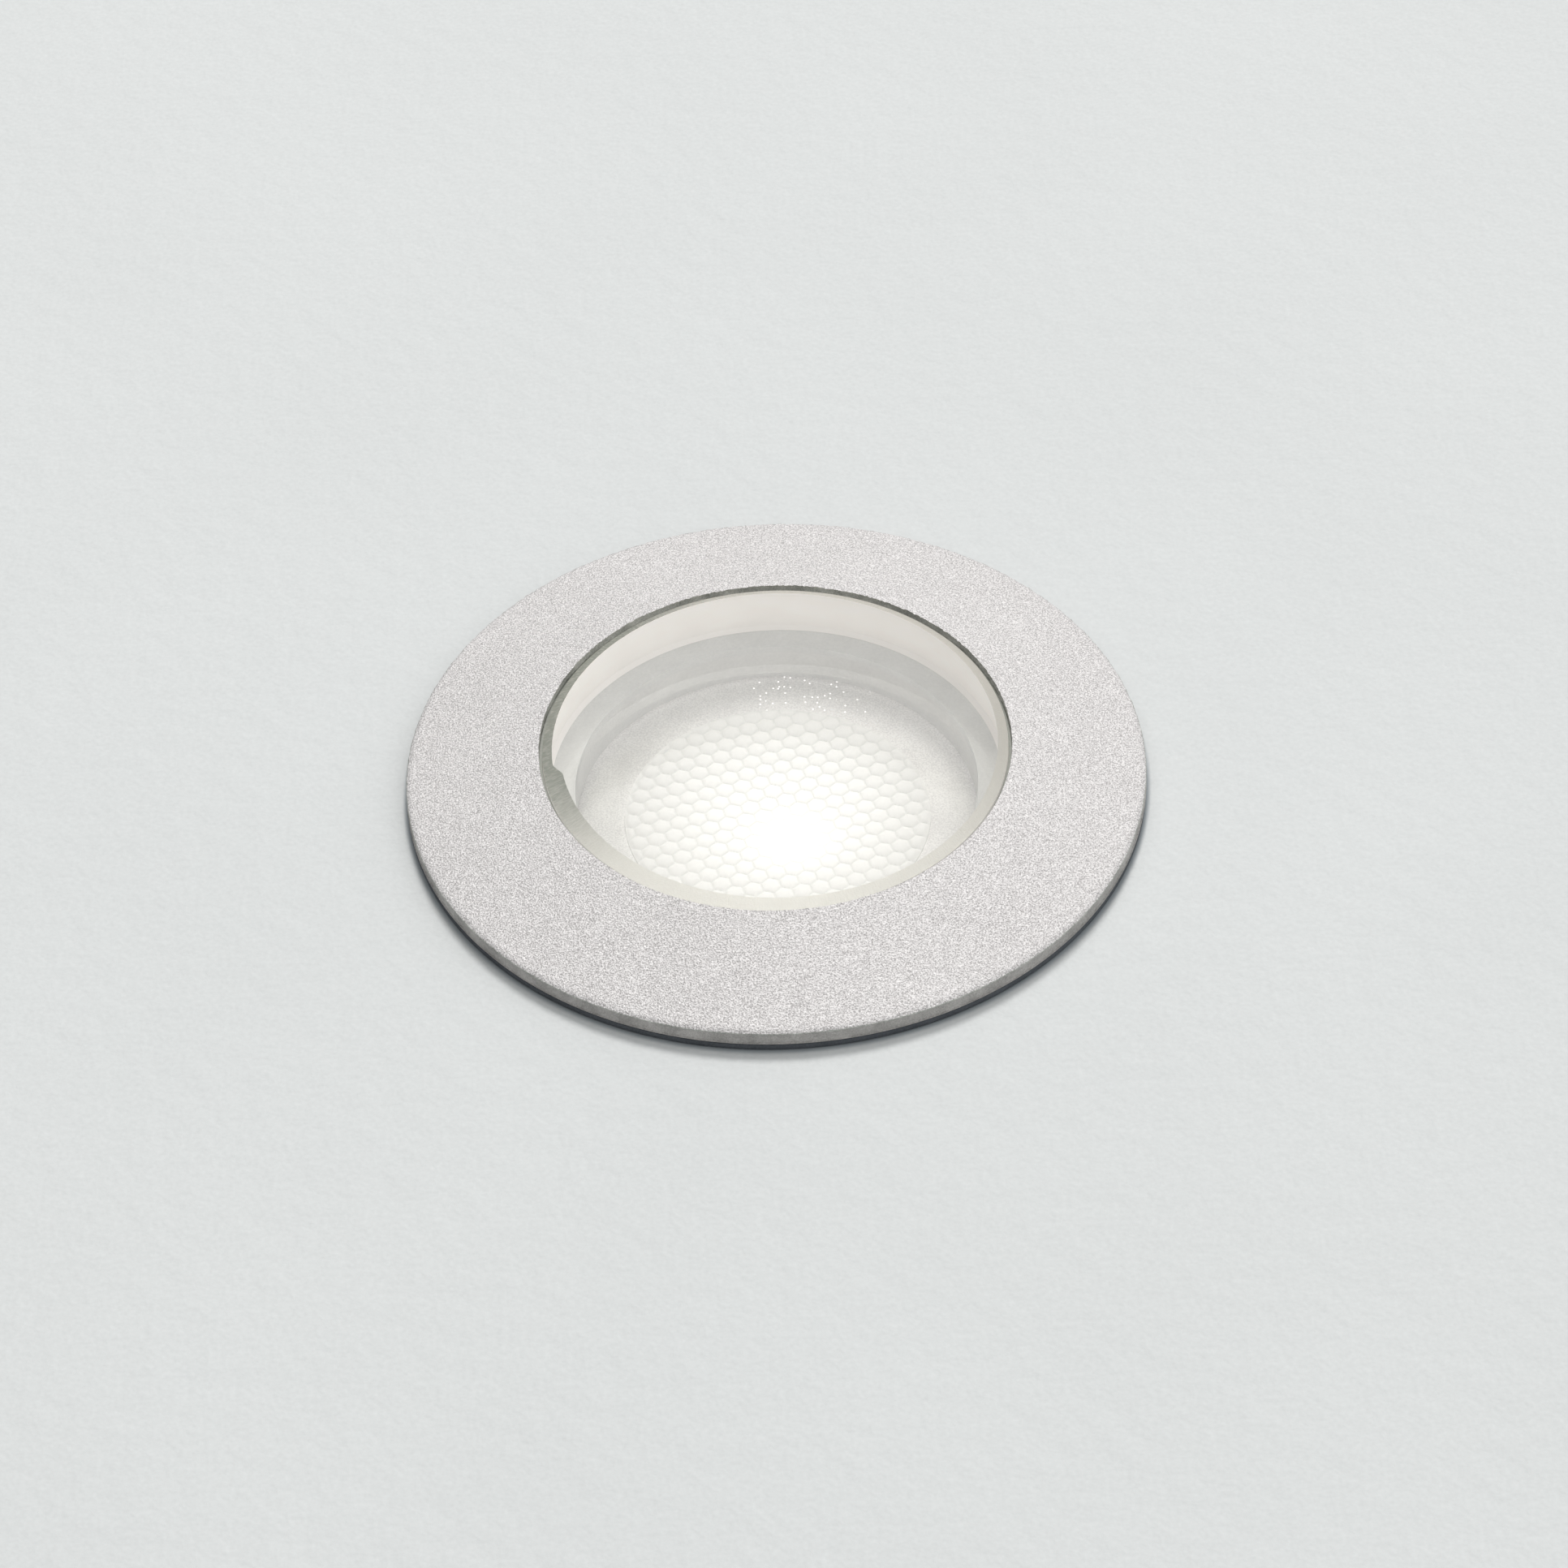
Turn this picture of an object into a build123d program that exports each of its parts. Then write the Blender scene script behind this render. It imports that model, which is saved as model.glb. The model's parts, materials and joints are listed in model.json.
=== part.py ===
from build123d import *
import os
from math import ceil, cos, hypot, radians, sin

# In-ground light with a thick glass window, a front ring, a tubular housing and a ground sleeve.
# Millimetres, +Z up. The origin is on the light's axis at the level of the finished ground.

# Glass window
glass_thickness = 8.0
glass_stand = 0.1
glass_grind_width = 0.9
glass_grind_depth = 0.45
glass_bottom_bevel = 0.3

# Sealant in the gap round the glass
sealant_gap = 0.27
sealant_slip = 0.02
sealant_recess = 0.6

# Front ring: a shallow cone with a threaded neck
ring_overlap = 3.3
ring_edge_height = 1.12
ring_cone_rise = 2.27
ring_edge_bevel = 0.22
ring_seat_width = 2.5
ring_seat_thickness = 2.5
ring_neck_wall = 2.13
ring_skirt_wall = 1.6
ring_skirt_length = 5.0
ring_skirt_bevel = 0.5
seat_gasket_thickness = 0.6
seat_gasket_inset = 0.15
neck_thread_pitch = 1.5
neck_thread_turns = 2.5

# Gasket under the front ring
ring_gasket_thickness = 0.6
ring_gasket_inset = 0.5
ring_gasket_clearance = 0.3

# Housing: a turned tube with a web across it
thread_clearance = 0.35
housing_wall = 2.0
housing_top_gap = 0.3
housing_thread_relief = 1.0
housing_shoulder = 4.0
housing_web_thickness = 6.0
housing_rear_wall = 4.5
housing_rear_length = 26.0
housing_edge_bevel = 0.4
front_seal_wire = 1.3
front_seal_wall = 0.7
front_seal_gap = 0.05

# Rings round the housing that steady it in the sleeve
grip_wire = 1.2
grip_reach = 0.3
grip_groove_slip = 0.05
grip_groove_width = 1.7
grip_first_depth = 18.0
grip_spacing = 26.0
grip_count = 2

# Lens, which the rest of the light is built round: a collimator with a honeycomb of small pillows
lens_depth = 13.0
lens_rim_thickness = 1.5
lens_stand = 0.3
lens_shoulder_width = 1.0
lens_base_wall = 2.0
lens_base_gap = 0.3
lens_bulge_radius_share = 0.8
lens_bulge_depth_share = 0.5
lens_cavity_radius = 2.6
lens_cavity_depth = 5.5
lens_cavity_crown = 0.8
cell_pitch = 1.38
cell_turn = 14.0
cell_offset = (0.28, 0.14)
cell_groove = 0.12
cell_height = 0.22
cell_flank_angle = 50.0

# Lens holder
holder_ring_gap = 0.3
holder_plate_thickness = 1.2
holder_plate_show = 3.62
holder_plate_clearance = 0.45
holder_wall = 1.9
holder_lens_clearance = 0.1
holder_ledge_width = 0.7
holder_window_count = 3
holder_window_width = 7.0
holder_window_height = 5.0
holder_foot_height = 2.2
holder_plate_bevel = 0.3

# Light-emitting package, its board and its thermal pad
package_side = 3.5
package_height = 0.7
dome_radius = 1.5
board_clearance = 0.6
board_thickness = 1.6
board_notch_count = 6
board_notch_angle = 30
board_notch_radius = 1.3
pad_thickness = 0.3
pad_inset = 0.4

# Small pan-head screws that hold the board to the web
board_screw_count = 2
board_screw_gap = 1.4
board_screw_inset = 2.4
board_screw_radius = 1.0
board_screw_length = 5.0
board_screw_head_radius = 1.8
board_screw_head_height = 1.1

# Spaces shared by every screw and its hole
screw_slip = 0.05
screw_clearance = 0.2
screw_tip_gap = 0.5
head_bevel_share = 0.3
drive_radius_share = 0.5
drive_depth_share = 0.55

# Wire holes through the web, in two of the board's notches
wire_hole_count = 2
wire_hole_inset = 0.3
wire_hole_radius = 0.9

# Driver board on three spacers behind the web
driver_inset = 1.0
driver_thickness = 1.6
spacer_count = 3
spacer_angle = 90
spacer_inset = 4.3
spacer_length = 7.0
spacer_flats_radius = 2.5
spacer_stud_radius = 1.2
spacer_stud_length = 3.5
driver_screw_length = 4.5
driver_screw_head_radius = 2.2
driver_screw_head_height = 1.3
coil_radius = 3.6
coil_waist_radius = 2.6
coil_height = 5.2
coil_flange = 0.9
coil_place = (-6.6, 3.2)
capacitor_radius = 3.15
capacitor_height = 9.5
capacitor_neck = 0.35
capacitor_neck_height = 1.6
capacitor_bevel = 0.4
capacitor_place = (6.8, 4.4)
bridge_size = (4.8, 4.0, 1.6)
bridge_place = (0.2, 8.6)
controller_size = (5.0, 4.0, 1.5)
controller_place = (0.4, 3.4)
resistor_size = (3.2, 1.6, 0.6)
resistor_places = ((-7.4, -2.8), (5.6, -2.6))
terminal_size = (10.2, 8.0, 8.6)
terminal_edge_inset = 4.1
terminal_way_count = 2
terminal_way_radius = 1.35
terminal_screw_radius = 1.5
terminal_screw_depth = 1.0

# Rear cap, its seal and its screws
cap_thickness = 4.0
cap_spigot_length = 3.2
cap_spigot_clearance = 0.15
cap_wall = 3.0
cap_edge_bevel = 0.5
cap_seal_wire = 1.2
cap_seal_gap = 0.05
cap_screw_count = 3
cap_screw_angle = 90
cap_screw_radius = 1.0
cap_screw_grip = 6.0
cap_screw_head_radius = 1.8
cap_screw_head_height = 1.6

# Cable gland: body, insert, slip washer and nut
gland_stem_radius = 6.0
gland_stem_slip = 0.05
gland_gasket_thickness = 0.8
gland_flats_radius = 8.0
gland_flange_height = 4.2
gland_collar_radius = 6.6
gland_collar_length = 7.0
gland_bore_radius = 3.5
gland_finger_count = 6
gland_finger_slot = 1.0
gland_finger_length = 4.5
gland_corner_bevel = 0.6
insert_radius = 5.0
insert_slip = 0.05
insert_bore_radius = 3.1
insert_length = 6.6
insert_stand = 0.4
insert_bevel = 0.6
washer_thickness = 0.5
nut_thread_clearance = 0.35
nut_flange_gap = 1.0
nut_floor = 2.0
nut_mouth_radius = 3.8
nut_dome_drop = 2.4
nut_dome_inset = 2.2
nut_thread_pitch = 1.5
nut_thread_turns = 2.0

# Ground sleeve with a socket for the cable's conduit
sleeve_clearance = 0.6
sleeve_wall = 1.6
sleeve_floor_gap = 3.0
sleeve_floor = 1.8
sleeve_mouth_bevel = 0.4
socket_bore_radius = 10.1
socket_wall = 1.8
socket_length = 12.0
window_count = 4
window_width = 11.0
window_height = 9.0
window_floor_gap = 1.0
gusset_count = 8
gusset_thickness = 1.4
gusset_drop = 7.0
gusset_foot = 2.0

overrun = 2.0

# Radii, from the lens outwards
lens_base_radius = lens_cavity_radius + lens_base_wall
board_screw_circle = lens_base_radius + board_screw_gap + board_screw_head_radius
board_radius = board_screw_circle + board_screw_inset
holder_throat_radius = board_radius + board_clearance
holder_bore_radius = holder_throat_radius + holder_ledge_width
holder_radius = holder_bore_radius + holder_wall
lens_radius = holder_bore_radius - holder_lens_clearance
seat_bore_radius = lens_radius + holder_plate_show
ring_bore_radius = seat_bore_radius + ring_seat_width
glass_radius = ring_bore_radius - sealant_gap
neck_radius = ring_bore_radius + ring_neck_wall
skirt_bore_radius = neck_radius - ring_skirt_wall
thread_bore_radius = neck_radius + thread_clearance
housing_radius = thread_bore_radius + housing_wall
chamber_radius = thread_bore_radius - housing_shoulder
rear_bore_radius = housing_radius - housing_rear_wall
sleeve_bore_radius = housing_radius + sleeve_clearance
sleeve_radius = sleeve_bore_radius + sleeve_wall
ring_radius = sleeve_radius + ring_overlap

# Levels of the front ring and what it holds
ring_under = ring_gasket_thickness
ring_edge = ring_under + ring_edge_height
ring_top = ring_edge + ring_cone_rise
glass_top = ring_top + glass_stand
glass_under = glass_top - glass_thickness
seat_level = glass_under - seat_gasket_thickness
seat_under = seat_level - ring_seat_thickness
neck_end = seat_under - ring_skirt_length

# Levels of the lens, its board and the web
holder_top = seat_under - holder_ring_gap
holder_plate_under = holder_top - holder_plate_thickness
lens_front = holder_top + lens_stand
lens_face = lens_front - cell_height
lens_rim_under = lens_face - lens_rim_thickness
lens_base = lens_front - lens_depth
board_top = lens_base - lens_base_gap
board_under = board_top - board_thickness
web_top = board_under - pad_thickness
web_under = web_top - housing_web_thickness

# Levels of the housing and of the driver behind its web
housing_top = ring_under - housing_top_gap
front_seal_depth = front_seal_wire + front_seal_gap
front_seal_floor = housing_top - front_seal_depth
thread_end = neck_end - housing_thread_relief
driver_top = web_under - spacer_length
driver_under = driver_top - driver_thickness
housing_end = web_under - housing_rear_length
cap_under = housing_end - cap_thickness
spigot_top = housing_end + cap_spigot_length

# Levels of the cable gland
gland_seat = cap_under - gland_gasket_thickness
gland_flange_under = gland_seat - gland_flange_height
collar_end = gland_flange_under - gland_collar_length
insert_end = collar_end - insert_stand
insert_top = insert_end + insert_length
washer_under = insert_end - washer_thickness
nut_top = gland_flange_under - nut_flange_gap
nut_end = washer_under - nut_floor
nut_travel = nut_thread_pitch * nut_thread_turns
ring_travel = neck_thread_pitch * neck_thread_turns

# Levels of the ground sleeve
sleeve_inner_floor = nut_end - nut_travel - sleeve_floor_gap
sleeve_end = sleeve_inner_floor - sleeve_floor
socket_end = sleeve_end - socket_length

downwards = (0, 0, -1)


def ring_section(inner, outer, low, high):
    """Rectangle of a ring's cross-section, in a sketch of radius and height."""
    with Locations(((inner + outer) / 2, (low + high) / 2)):
        Rectangle(outer - inner, high - low)


def wire_section(radius, height, wire):
    """Eight-sided cross-section of a sealing ring, in a sketch of radius and height."""
    with Locations((radius, height)):
        RegularPolygon(wire / 2, side_count=8)


def facing_down(height):
    """Plane at a height, seen from below, so that a hole in it goes upwards."""
    return Plane(origin=(0, 0, height), x_dir=(1, 0, 0), z_dir=downwards)


def circle_edge(solid, radius, height):
    """The turned solid's circular edge of that radius at that height."""
    circles = solid.edges().filter_by(GeomType.CIRCLE)
    return circles.sort_by_distance((radius, 0, height))[0]


def pan_head_screw(radius, length, head_radius, head_height):
    """Screw along the local axis: its head stands on the local origin's plane."""
    with BuildPart(mode=Mode.PRIVATE) as screw:
        with BuildSketch(Plane.XZ):
            ring_section(0, head_radius, 0, head_height)
            ring_section(0, radius, -length, 0)
        revolve(axis=Axis.Z)
        chamfer(circle_edge(screw, head_radius, head_height), head_height * head_bevel_share)
        with BuildSketch(Plane.XY.offset(head_height)):
            RegularPolygon(head_radius * drive_radius_share, side_count=6)
        extrude(amount=-head_height * drive_depth_share, mode=Mode.SUBTRACT)
    return screw.part


# Glass window: a thick disc with a ground upper edge and a small bevel below
with BuildPart() as glass:
    with BuildSketch(Plane.XZ):
        with BuildLine():
            Polyline(
                (0, glass_under),
                (glass_radius - glass_bottom_bevel, glass_under),
                (glass_radius, glass_under + glass_bottom_bevel),
                (glass_radius, glass_top - glass_grind_depth),
                (glass_radius - glass_grind_width, glass_top),
                (0, glass_top),
                close=True,
            )
        make_face()
    revolve(axis=Axis.Z)

# Sealant: a thin collar between the glass and the front ring
with BuildPart() as glass_sealant:
    with BuildSketch(Plane.XZ):
        ring_section(
            glass_radius + sealant_slip,
            ring_bore_radius - sealant_slip,
            glass_under,
            ring_top - sealant_recess,
        )
    revolve(axis=Axis.Z)

# Seat gasket: a flat ring under the glass
with BuildPart() as seat_gasket:
    with BuildSketch(Plane.XZ):
        ring_section(
            seat_bore_radius,
            ring_bore_radius - seat_gasket_inset,
            seat_level,
            glass_under,
        )
    revolve(axis=Axis.Z)

# Front ring: flange, conical face, glass seat and threaded neck in one turned piece
with BuildPart() as front_ring:
    with BuildSketch(Plane.XZ):
        with BuildLine():
            Polyline(
                (neck_radius, ring_under),
                (ring_radius, ring_under),
                (ring_radius, ring_edge),
                (ring_bore_radius, ring_top),
                (ring_bore_radius, seat_level),
                (seat_bore_radius, seat_level),
                (seat_bore_radius, seat_under),
                (skirt_bore_radius, seat_under),
                (skirt_bore_radius, neck_end),
                (neck_radius, neck_end),
                close=True,
            )
        make_face()
    revolve(axis=Axis.Z)
    chamfer(circle_edge(front_ring, ring_radius, ring_edge), ring_edge_bevel)
    chamfer(circle_edge(front_ring, ring_radius, ring_under), ring_edge_bevel)
    chamfer(circle_edge(front_ring, neck_radius, neck_end), ring_skirt_bevel)

# Ring gasket: the flat washer that seals the flange to the ground, round the sleeve
with BuildPart() as ring_gasket:
    with BuildSketch(Plane.XZ):
        ring_section(
            sleeve_radius + ring_gasket_clearance,
            ring_radius - ring_gasket_inset,
            0,
            ring_gasket_thickness,
        )
    revolve(axis=Axis.Z)

# Housing: thread bore, lamp chamber, web, rear chamber and two grooves in one turned piece
grip_heights = [housing_top - grip_first_depth - i * grip_spacing for i in range(grip_count)]
grip_groove_radius = sleeve_bore_radius - grip_reach - grip_wire - grip_groove_slip
front_seal_radius = housing_radius - front_seal_wall
cap_screw_circle = housing_radius - housing_rear_wall / 2
spacer_circle = rear_bore_radius - spacer_inset
spacer_stud_hole = spacer_stud_length + screw_tip_gap
with BuildPart() as housing:
    with BuildSketch(Plane.XZ):
        with BuildLine():
            Polyline(
                (0, web_under),
                (rear_bore_radius, web_under),
                (rear_bore_radius, housing_end),
                (housing_radius, housing_end),
                (housing_radius, housing_top),
                (front_seal_radius, housing_top),
                (front_seal_radius, front_seal_floor),
                (thread_bore_radius, front_seal_floor),
                (thread_bore_radius, thread_end),
                (chamber_radius, thread_end),
                (chamber_radius, web_top),
                (0, web_top),
                close=True,
            )
        make_face()
    revolve(axis=Axis.Z)
    with BuildSketch(Plane.XZ):
        for height in grip_heights:
            ring_section(
                grip_groove_radius,
                housing_radius + overrun,
                height - grip_groove_width / 2,
                height + grip_groove_width / 2,
            )
    revolve(axis=Axis.Z, mode=Mode.SUBTRACT)
    chamfer(circle_edge(housing, housing_radius, housing_end), housing_edge_bevel)
    with Locations(Plane.XY.offset(web_top)):
        with PolarLocations(board_screw_circle, board_screw_count):
            Hole(board_screw_radius + screw_slip, board_screw_length)
        with PolarLocations(board_radius - wire_hole_inset, wire_hole_count, start_angle=90):
            Hole(wire_hole_radius, housing_web_thickness + overrun)
    with Locations(facing_down(web_under)):
        with PolarLocations(spacer_circle, spacer_count, start_angle=-spacer_angle):
            Hole(spacer_stud_radius + screw_slip, spacer_stud_hole)
    with Locations(facing_down(housing_end)):
        with PolarLocations(cap_screw_circle, cap_screw_count, start_angle=-cap_screw_angle):
            Hole(cap_screw_radius + screw_slip, cap_screw_grip + screw_tip_gap)

# Front seal: a rubber ring in the housing's mouth, round the neck
with BuildPart() as front_seal:
    with BuildSketch(Plane.XZ):
        wire_section(
            front_seal_radius - front_seal_gap - front_seal_wire / 2,
            front_seal_floor + front_seal_wire / 2,
            front_seal_wire,
        )
    revolve(axis=Axis.Z)

# Grip rings: two rubber rings round the housing
with BuildPart() as grip_rings:
    with BuildSketch(Plane.XZ):
        for height in grip_heights:
            wire_section(grip_groove_radius + grip_groove_slip + grip_wire / 2, height, grip_wire)
    revolve(axis=Axis.Z)

# Lens: rim, curved collimating flank, hollow for the dome, and hexagonal pillows on the front
flank_radius = lens_radius - lens_shoulder_width
flank_depth = lens_rim_under - lens_base
bulge_radius = lens_base_radius + (flank_radius - lens_base_radius) * lens_bulge_radius_share
bulge_height = lens_base + flank_depth * lens_bulge_depth_share
cavity_top = lens_base + lens_cavity_depth
cavity_shoulder = cavity_top - lens_cavity_crown
row_pitch = cell_pitch * cos(radians(30))
cell_rows = ceil(lens_radius / row_pitch)
cell_flats_radius = (cell_pitch - cell_groove) / 2
cell_corner_radius = cell_flats_radius / cos(radians(30))
cells = []
for row in range(-cell_rows, cell_rows + 1):
    for column in range(-cell_rows, cell_rows + 1):
        along = (column + (row % 2) / 2) * cell_pitch
        across = row * row_pitch
        x = along * cos(radians(cell_turn)) - across * sin(radians(cell_turn)) + cell_offset[0]
        y = along * sin(radians(cell_turn)) + across * cos(radians(cell_turn)) + cell_offset[1]
        if hypot(x, y) + cell_corner_radius <= lens_radius - cell_groove:
            cells.append((x, y))
with BuildPart() as lens:
    with BuildSketch(Plane.XZ):
        with BuildLine():
            Line((0, lens_face), (lens_radius, lens_face))
            Line((lens_radius, lens_face), (lens_radius, lens_rim_under))
            Line((lens_radius, lens_rim_under), (flank_radius, lens_rim_under))
            Spline(
                (flank_radius, lens_rim_under),
                (bulge_radius, bulge_height),
                (lens_base_radius, lens_base),
            )
            Line((lens_base_radius, lens_base), (lens_cavity_radius, lens_base))
            Line((lens_cavity_radius, lens_base), (lens_cavity_radius, cavity_shoulder))
            Spline(
                (lens_cavity_radius, cavity_shoulder),
                (0, cavity_top),
                tangents=((-lens_cavity_radius, 2 * lens_cavity_crown), (-lens_cavity_radius, 0)),
            )
            Line((0, cavity_top), (0, lens_face))
        make_face()
    revolve(axis=Axis.Z)
    with BuildSketch(Plane.XY.offset(lens_face)):
        with Locations(*cells):
            RegularPolygon(cell_flats_radius, side_count=6, major_radius=False, rotation=30 + cell_turn)
    extrude(amount=cell_height, taper=cell_flank_angle)

# Lens holder: a plate under the window, a cup round the lens and three windowed feet
holder_plate_radius = skirt_bore_radius - holder_plate_clearance
holder_foot = web_top
window_middle = holder_foot + holder_foot_height + holder_window_height / 2
with BuildPart() as lens_holder:
    with BuildSketch(Plane.XZ):
        with BuildLine():
            Polyline(
                (holder_bore_radius, holder_top),
                (holder_plate_radius, holder_top),
                (holder_plate_radius, holder_plate_under),
                (holder_radius, holder_plate_under),
                (holder_radius, holder_foot),
                (holder_throat_radius, holder_foot),
                (holder_throat_radius, lens_rim_under),
                (holder_bore_radius, lens_rim_under),
                close=True,
            )
        make_face()
    revolve(axis=Axis.Z)
    chamfer(circle_edge(lens_holder, holder_plate_radius, holder_top), holder_plate_bevel)
    with Locations(Plane.XY.offset(window_middle)):
        with PolarLocations((holder_throat_radius + holder_radius) / 2, holder_window_count, start_angle=30):
            Box(
                holder_wall + holder_ledge_width + overrun,
                holder_window_width,
                holder_window_height,
                mode=Mode.SUBTRACT,
            )

# Package: the square base that carries the light-emitting chip
with BuildPart() as led_package:
    with BuildSketch(Plane.XY.offset(board_top)):
        Rectangle(package_side, package_side)
    extrude(amount=package_height)

# Dome: the clear cap on the package
dome_floor = board_top + package_height
with BuildPart() as led_dome:
    with BuildSketch(Plane.XZ):
        with BuildLine():
            Line((0, dome_floor), (dome_radius, dome_floor))
            ThreePointArc(
                (dome_radius, dome_floor),
                (dome_radius * cos(radians(45)), dome_floor + dome_radius * sin(radians(45))),
                (0, dome_floor + dome_radius),
            )
            Line((0, dome_floor + dome_radius), (0, dome_floor))
        make_face()
    revolve(axis=Axis.Z)

# Lamp board: a round metal-core board with notches round its edge
with BuildPart() as led_board:
    with BuildSketch(Plane.XY.offset(board_under)):
        Circle(board_radius)
        with PolarLocations(board_radius, board_notch_count, start_angle=board_notch_angle):
            Circle(board_notch_radius, mode=Mode.SUBTRACT)
        with PolarLocations(board_screw_circle, board_screw_count):
            Circle(board_screw_radius + screw_clearance, mode=Mode.SUBTRACT)
    extrude(amount=board_thickness)

# Thermal pad between the board and the web
with BuildPart() as thermal_pad:
    with BuildSketch(Plane.XY.offset(web_top)):
        Circle(board_radius - pad_inset)
        with PolarLocations(board_radius, board_notch_count, start_angle=board_notch_angle):
            Circle(board_notch_radius, mode=Mode.SUBTRACT)
        with PolarLocations(board_screw_circle, board_screw_count):
            Circle(board_screw_radius + screw_clearance, mode=Mode.SUBTRACT)
    extrude(amount=pad_thickness)

# Board screws
board_screw = pan_head_screw(
    board_screw_radius,
    board_screw_length,
    board_screw_head_radius,
    board_screw_head_height,
)
with BuildPart() as board_screws:
    with Locations(Plane.XY.offset(board_top)):
        with PolarLocations(board_screw_circle, board_screw_count):
            add(board_screw)

# Spacers: hexagonal posts with a stud in the web and a thread for the driver board's screw
with BuildPart() as driver_spacers:
    with BuildSketch(Plane.XY.offset(driver_top)):
        with PolarLocations(spacer_circle, spacer_count, start_angle=spacer_angle):
            RegularPolygon(spacer_flats_radius, side_count=6, major_radius=False)
    extrude(amount=spacer_length)
    with BuildSketch(Plane.XY.offset(web_under)):
        with PolarLocations(spacer_circle, spacer_count, start_angle=spacer_angle):
            Circle(spacer_stud_radius)
    extrude(amount=spacer_stud_length)
    with Locations(facing_down(driver_top)):
        with PolarLocations(spacer_circle, spacer_count, start_angle=-spacer_angle):
            Hole(board_screw_radius + screw_slip, driver_screw_length)

# Driver board
driver_radius = rear_bore_radius - driver_inset
with BuildPart() as driver_board:
    with BuildSketch(Plane.XY.offset(driver_under)):
        Circle(driver_radius)
        with PolarLocations(spacer_circle, spacer_count, start_angle=spacer_angle):
            Circle(board_screw_radius + screw_clearance, mode=Mode.SUBTRACT)
    extrude(amount=driver_thickness)

# Driver screws, from below
driver_screw = pan_head_screw(
    board_screw_radius,
    driver_thickness + driver_screw_length - screw_tip_gap,
    driver_screw_head_radius,
    driver_screw_head_height,
)
with BuildPart() as driver_screws:
    with Locations(facing_down(driver_under)):
        with PolarLocations(spacer_circle, spacer_count, start_angle=-spacer_angle):
            add(driver_screw)

# Coil: a drum core with its winding drawn in between two flanges
with BuildPart() as driver_coil:
    with BuildSketch(Plane.XY.offset(driver_under)):
        with Locations(coil_place):
            Circle(coil_radius)
    extrude(amount=-coil_flange)
    with BuildSketch(Plane.XY.offset(driver_under - coil_flange)):
        with Locations(coil_place):
            Circle(coil_waist_radius)
    extrude(amount=-(coil_height - 2 * coil_flange))
    with BuildSketch(Plane.XY.offset(driver_under - coil_height)):
        with Locations(coil_place):
            Circle(coil_radius)
    extrude(amount=coil_flange)

# Capacitor: a can with a crimped neck, standing on the board
with BuildPart() as driver_capacitor:
    with BuildSketch(Plane.XY.offset(driver_under)):
        with Locations(capacitor_place):
            Circle(capacitor_radius)
    extrude(amount=-capacitor_height)
    chamfer(driver_capacitor.edges().filter_by(GeomType.CIRCLE).sort_by(Axis.Z)[0], capacitor_bevel)
    with BuildSketch(Plane.XY.offset(driver_under - capacitor_neck_height)):
        with Locations(capacitor_place):
            Circle(capacitor_radius + overrun)
            Circle(capacitor_radius - capacitor_neck, mode=Mode.SUBTRACT)
    extrude(amount=-2 * capacitor_neck, mode=Mode.SUBTRACT)

# Chips: rectifier, controller and two resistors, flat on the board
with BuildPart() as driver_chips:
    for size, place in (
        (bridge_size, bridge_place),
        (controller_size, controller_place),
        (resistor_size, resistor_places[0]),
        (resistor_size, resistor_places[1]),
    ):
        with BuildSketch(Plane.XY.offset(driver_under)):
            with Locations(place):
                Rectangle(size[0], size[1])
        extrude(amount=-size[2])

# Terminal block: a block with wire entries at one side and screws at the end
terminal_under = driver_under - terminal_size[2]
terminal_place = (0, terminal_edge_inset + terminal_size[1] / 2 - driver_radius)
terminal_front = terminal_place[1] + terminal_size[1] / 2
terminal_way_spacing = terminal_size[0] / terminal_way_count
with BuildPart() as terminal_block:
    with BuildSketch(Plane.XY.offset(driver_under)):
        with Locations(terminal_place):
            Rectangle(terminal_size[0], terminal_size[1])
    extrude(amount=-terminal_size[2])
    with BuildSketch(Plane.XZ.offset(-terminal_front)):
        with Locations((terminal_place[0], (driver_under + terminal_under) / 2)):
            with GridLocations(terminal_way_spacing, 0, terminal_way_count, 1):
                Circle(terminal_way_radius)
    extrude(amount=terminal_size[1] / 2, mode=Mode.SUBTRACT)
    with BuildSketch(Plane.XY.offset(terminal_under)):
        with Locations(terminal_place):
            with GridLocations(terminal_way_spacing, 0, terminal_way_count, 1):
                Circle(terminal_screw_radius)
    extrude(amount=terminal_screw_depth, mode=Mode.SUBTRACT)

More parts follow.
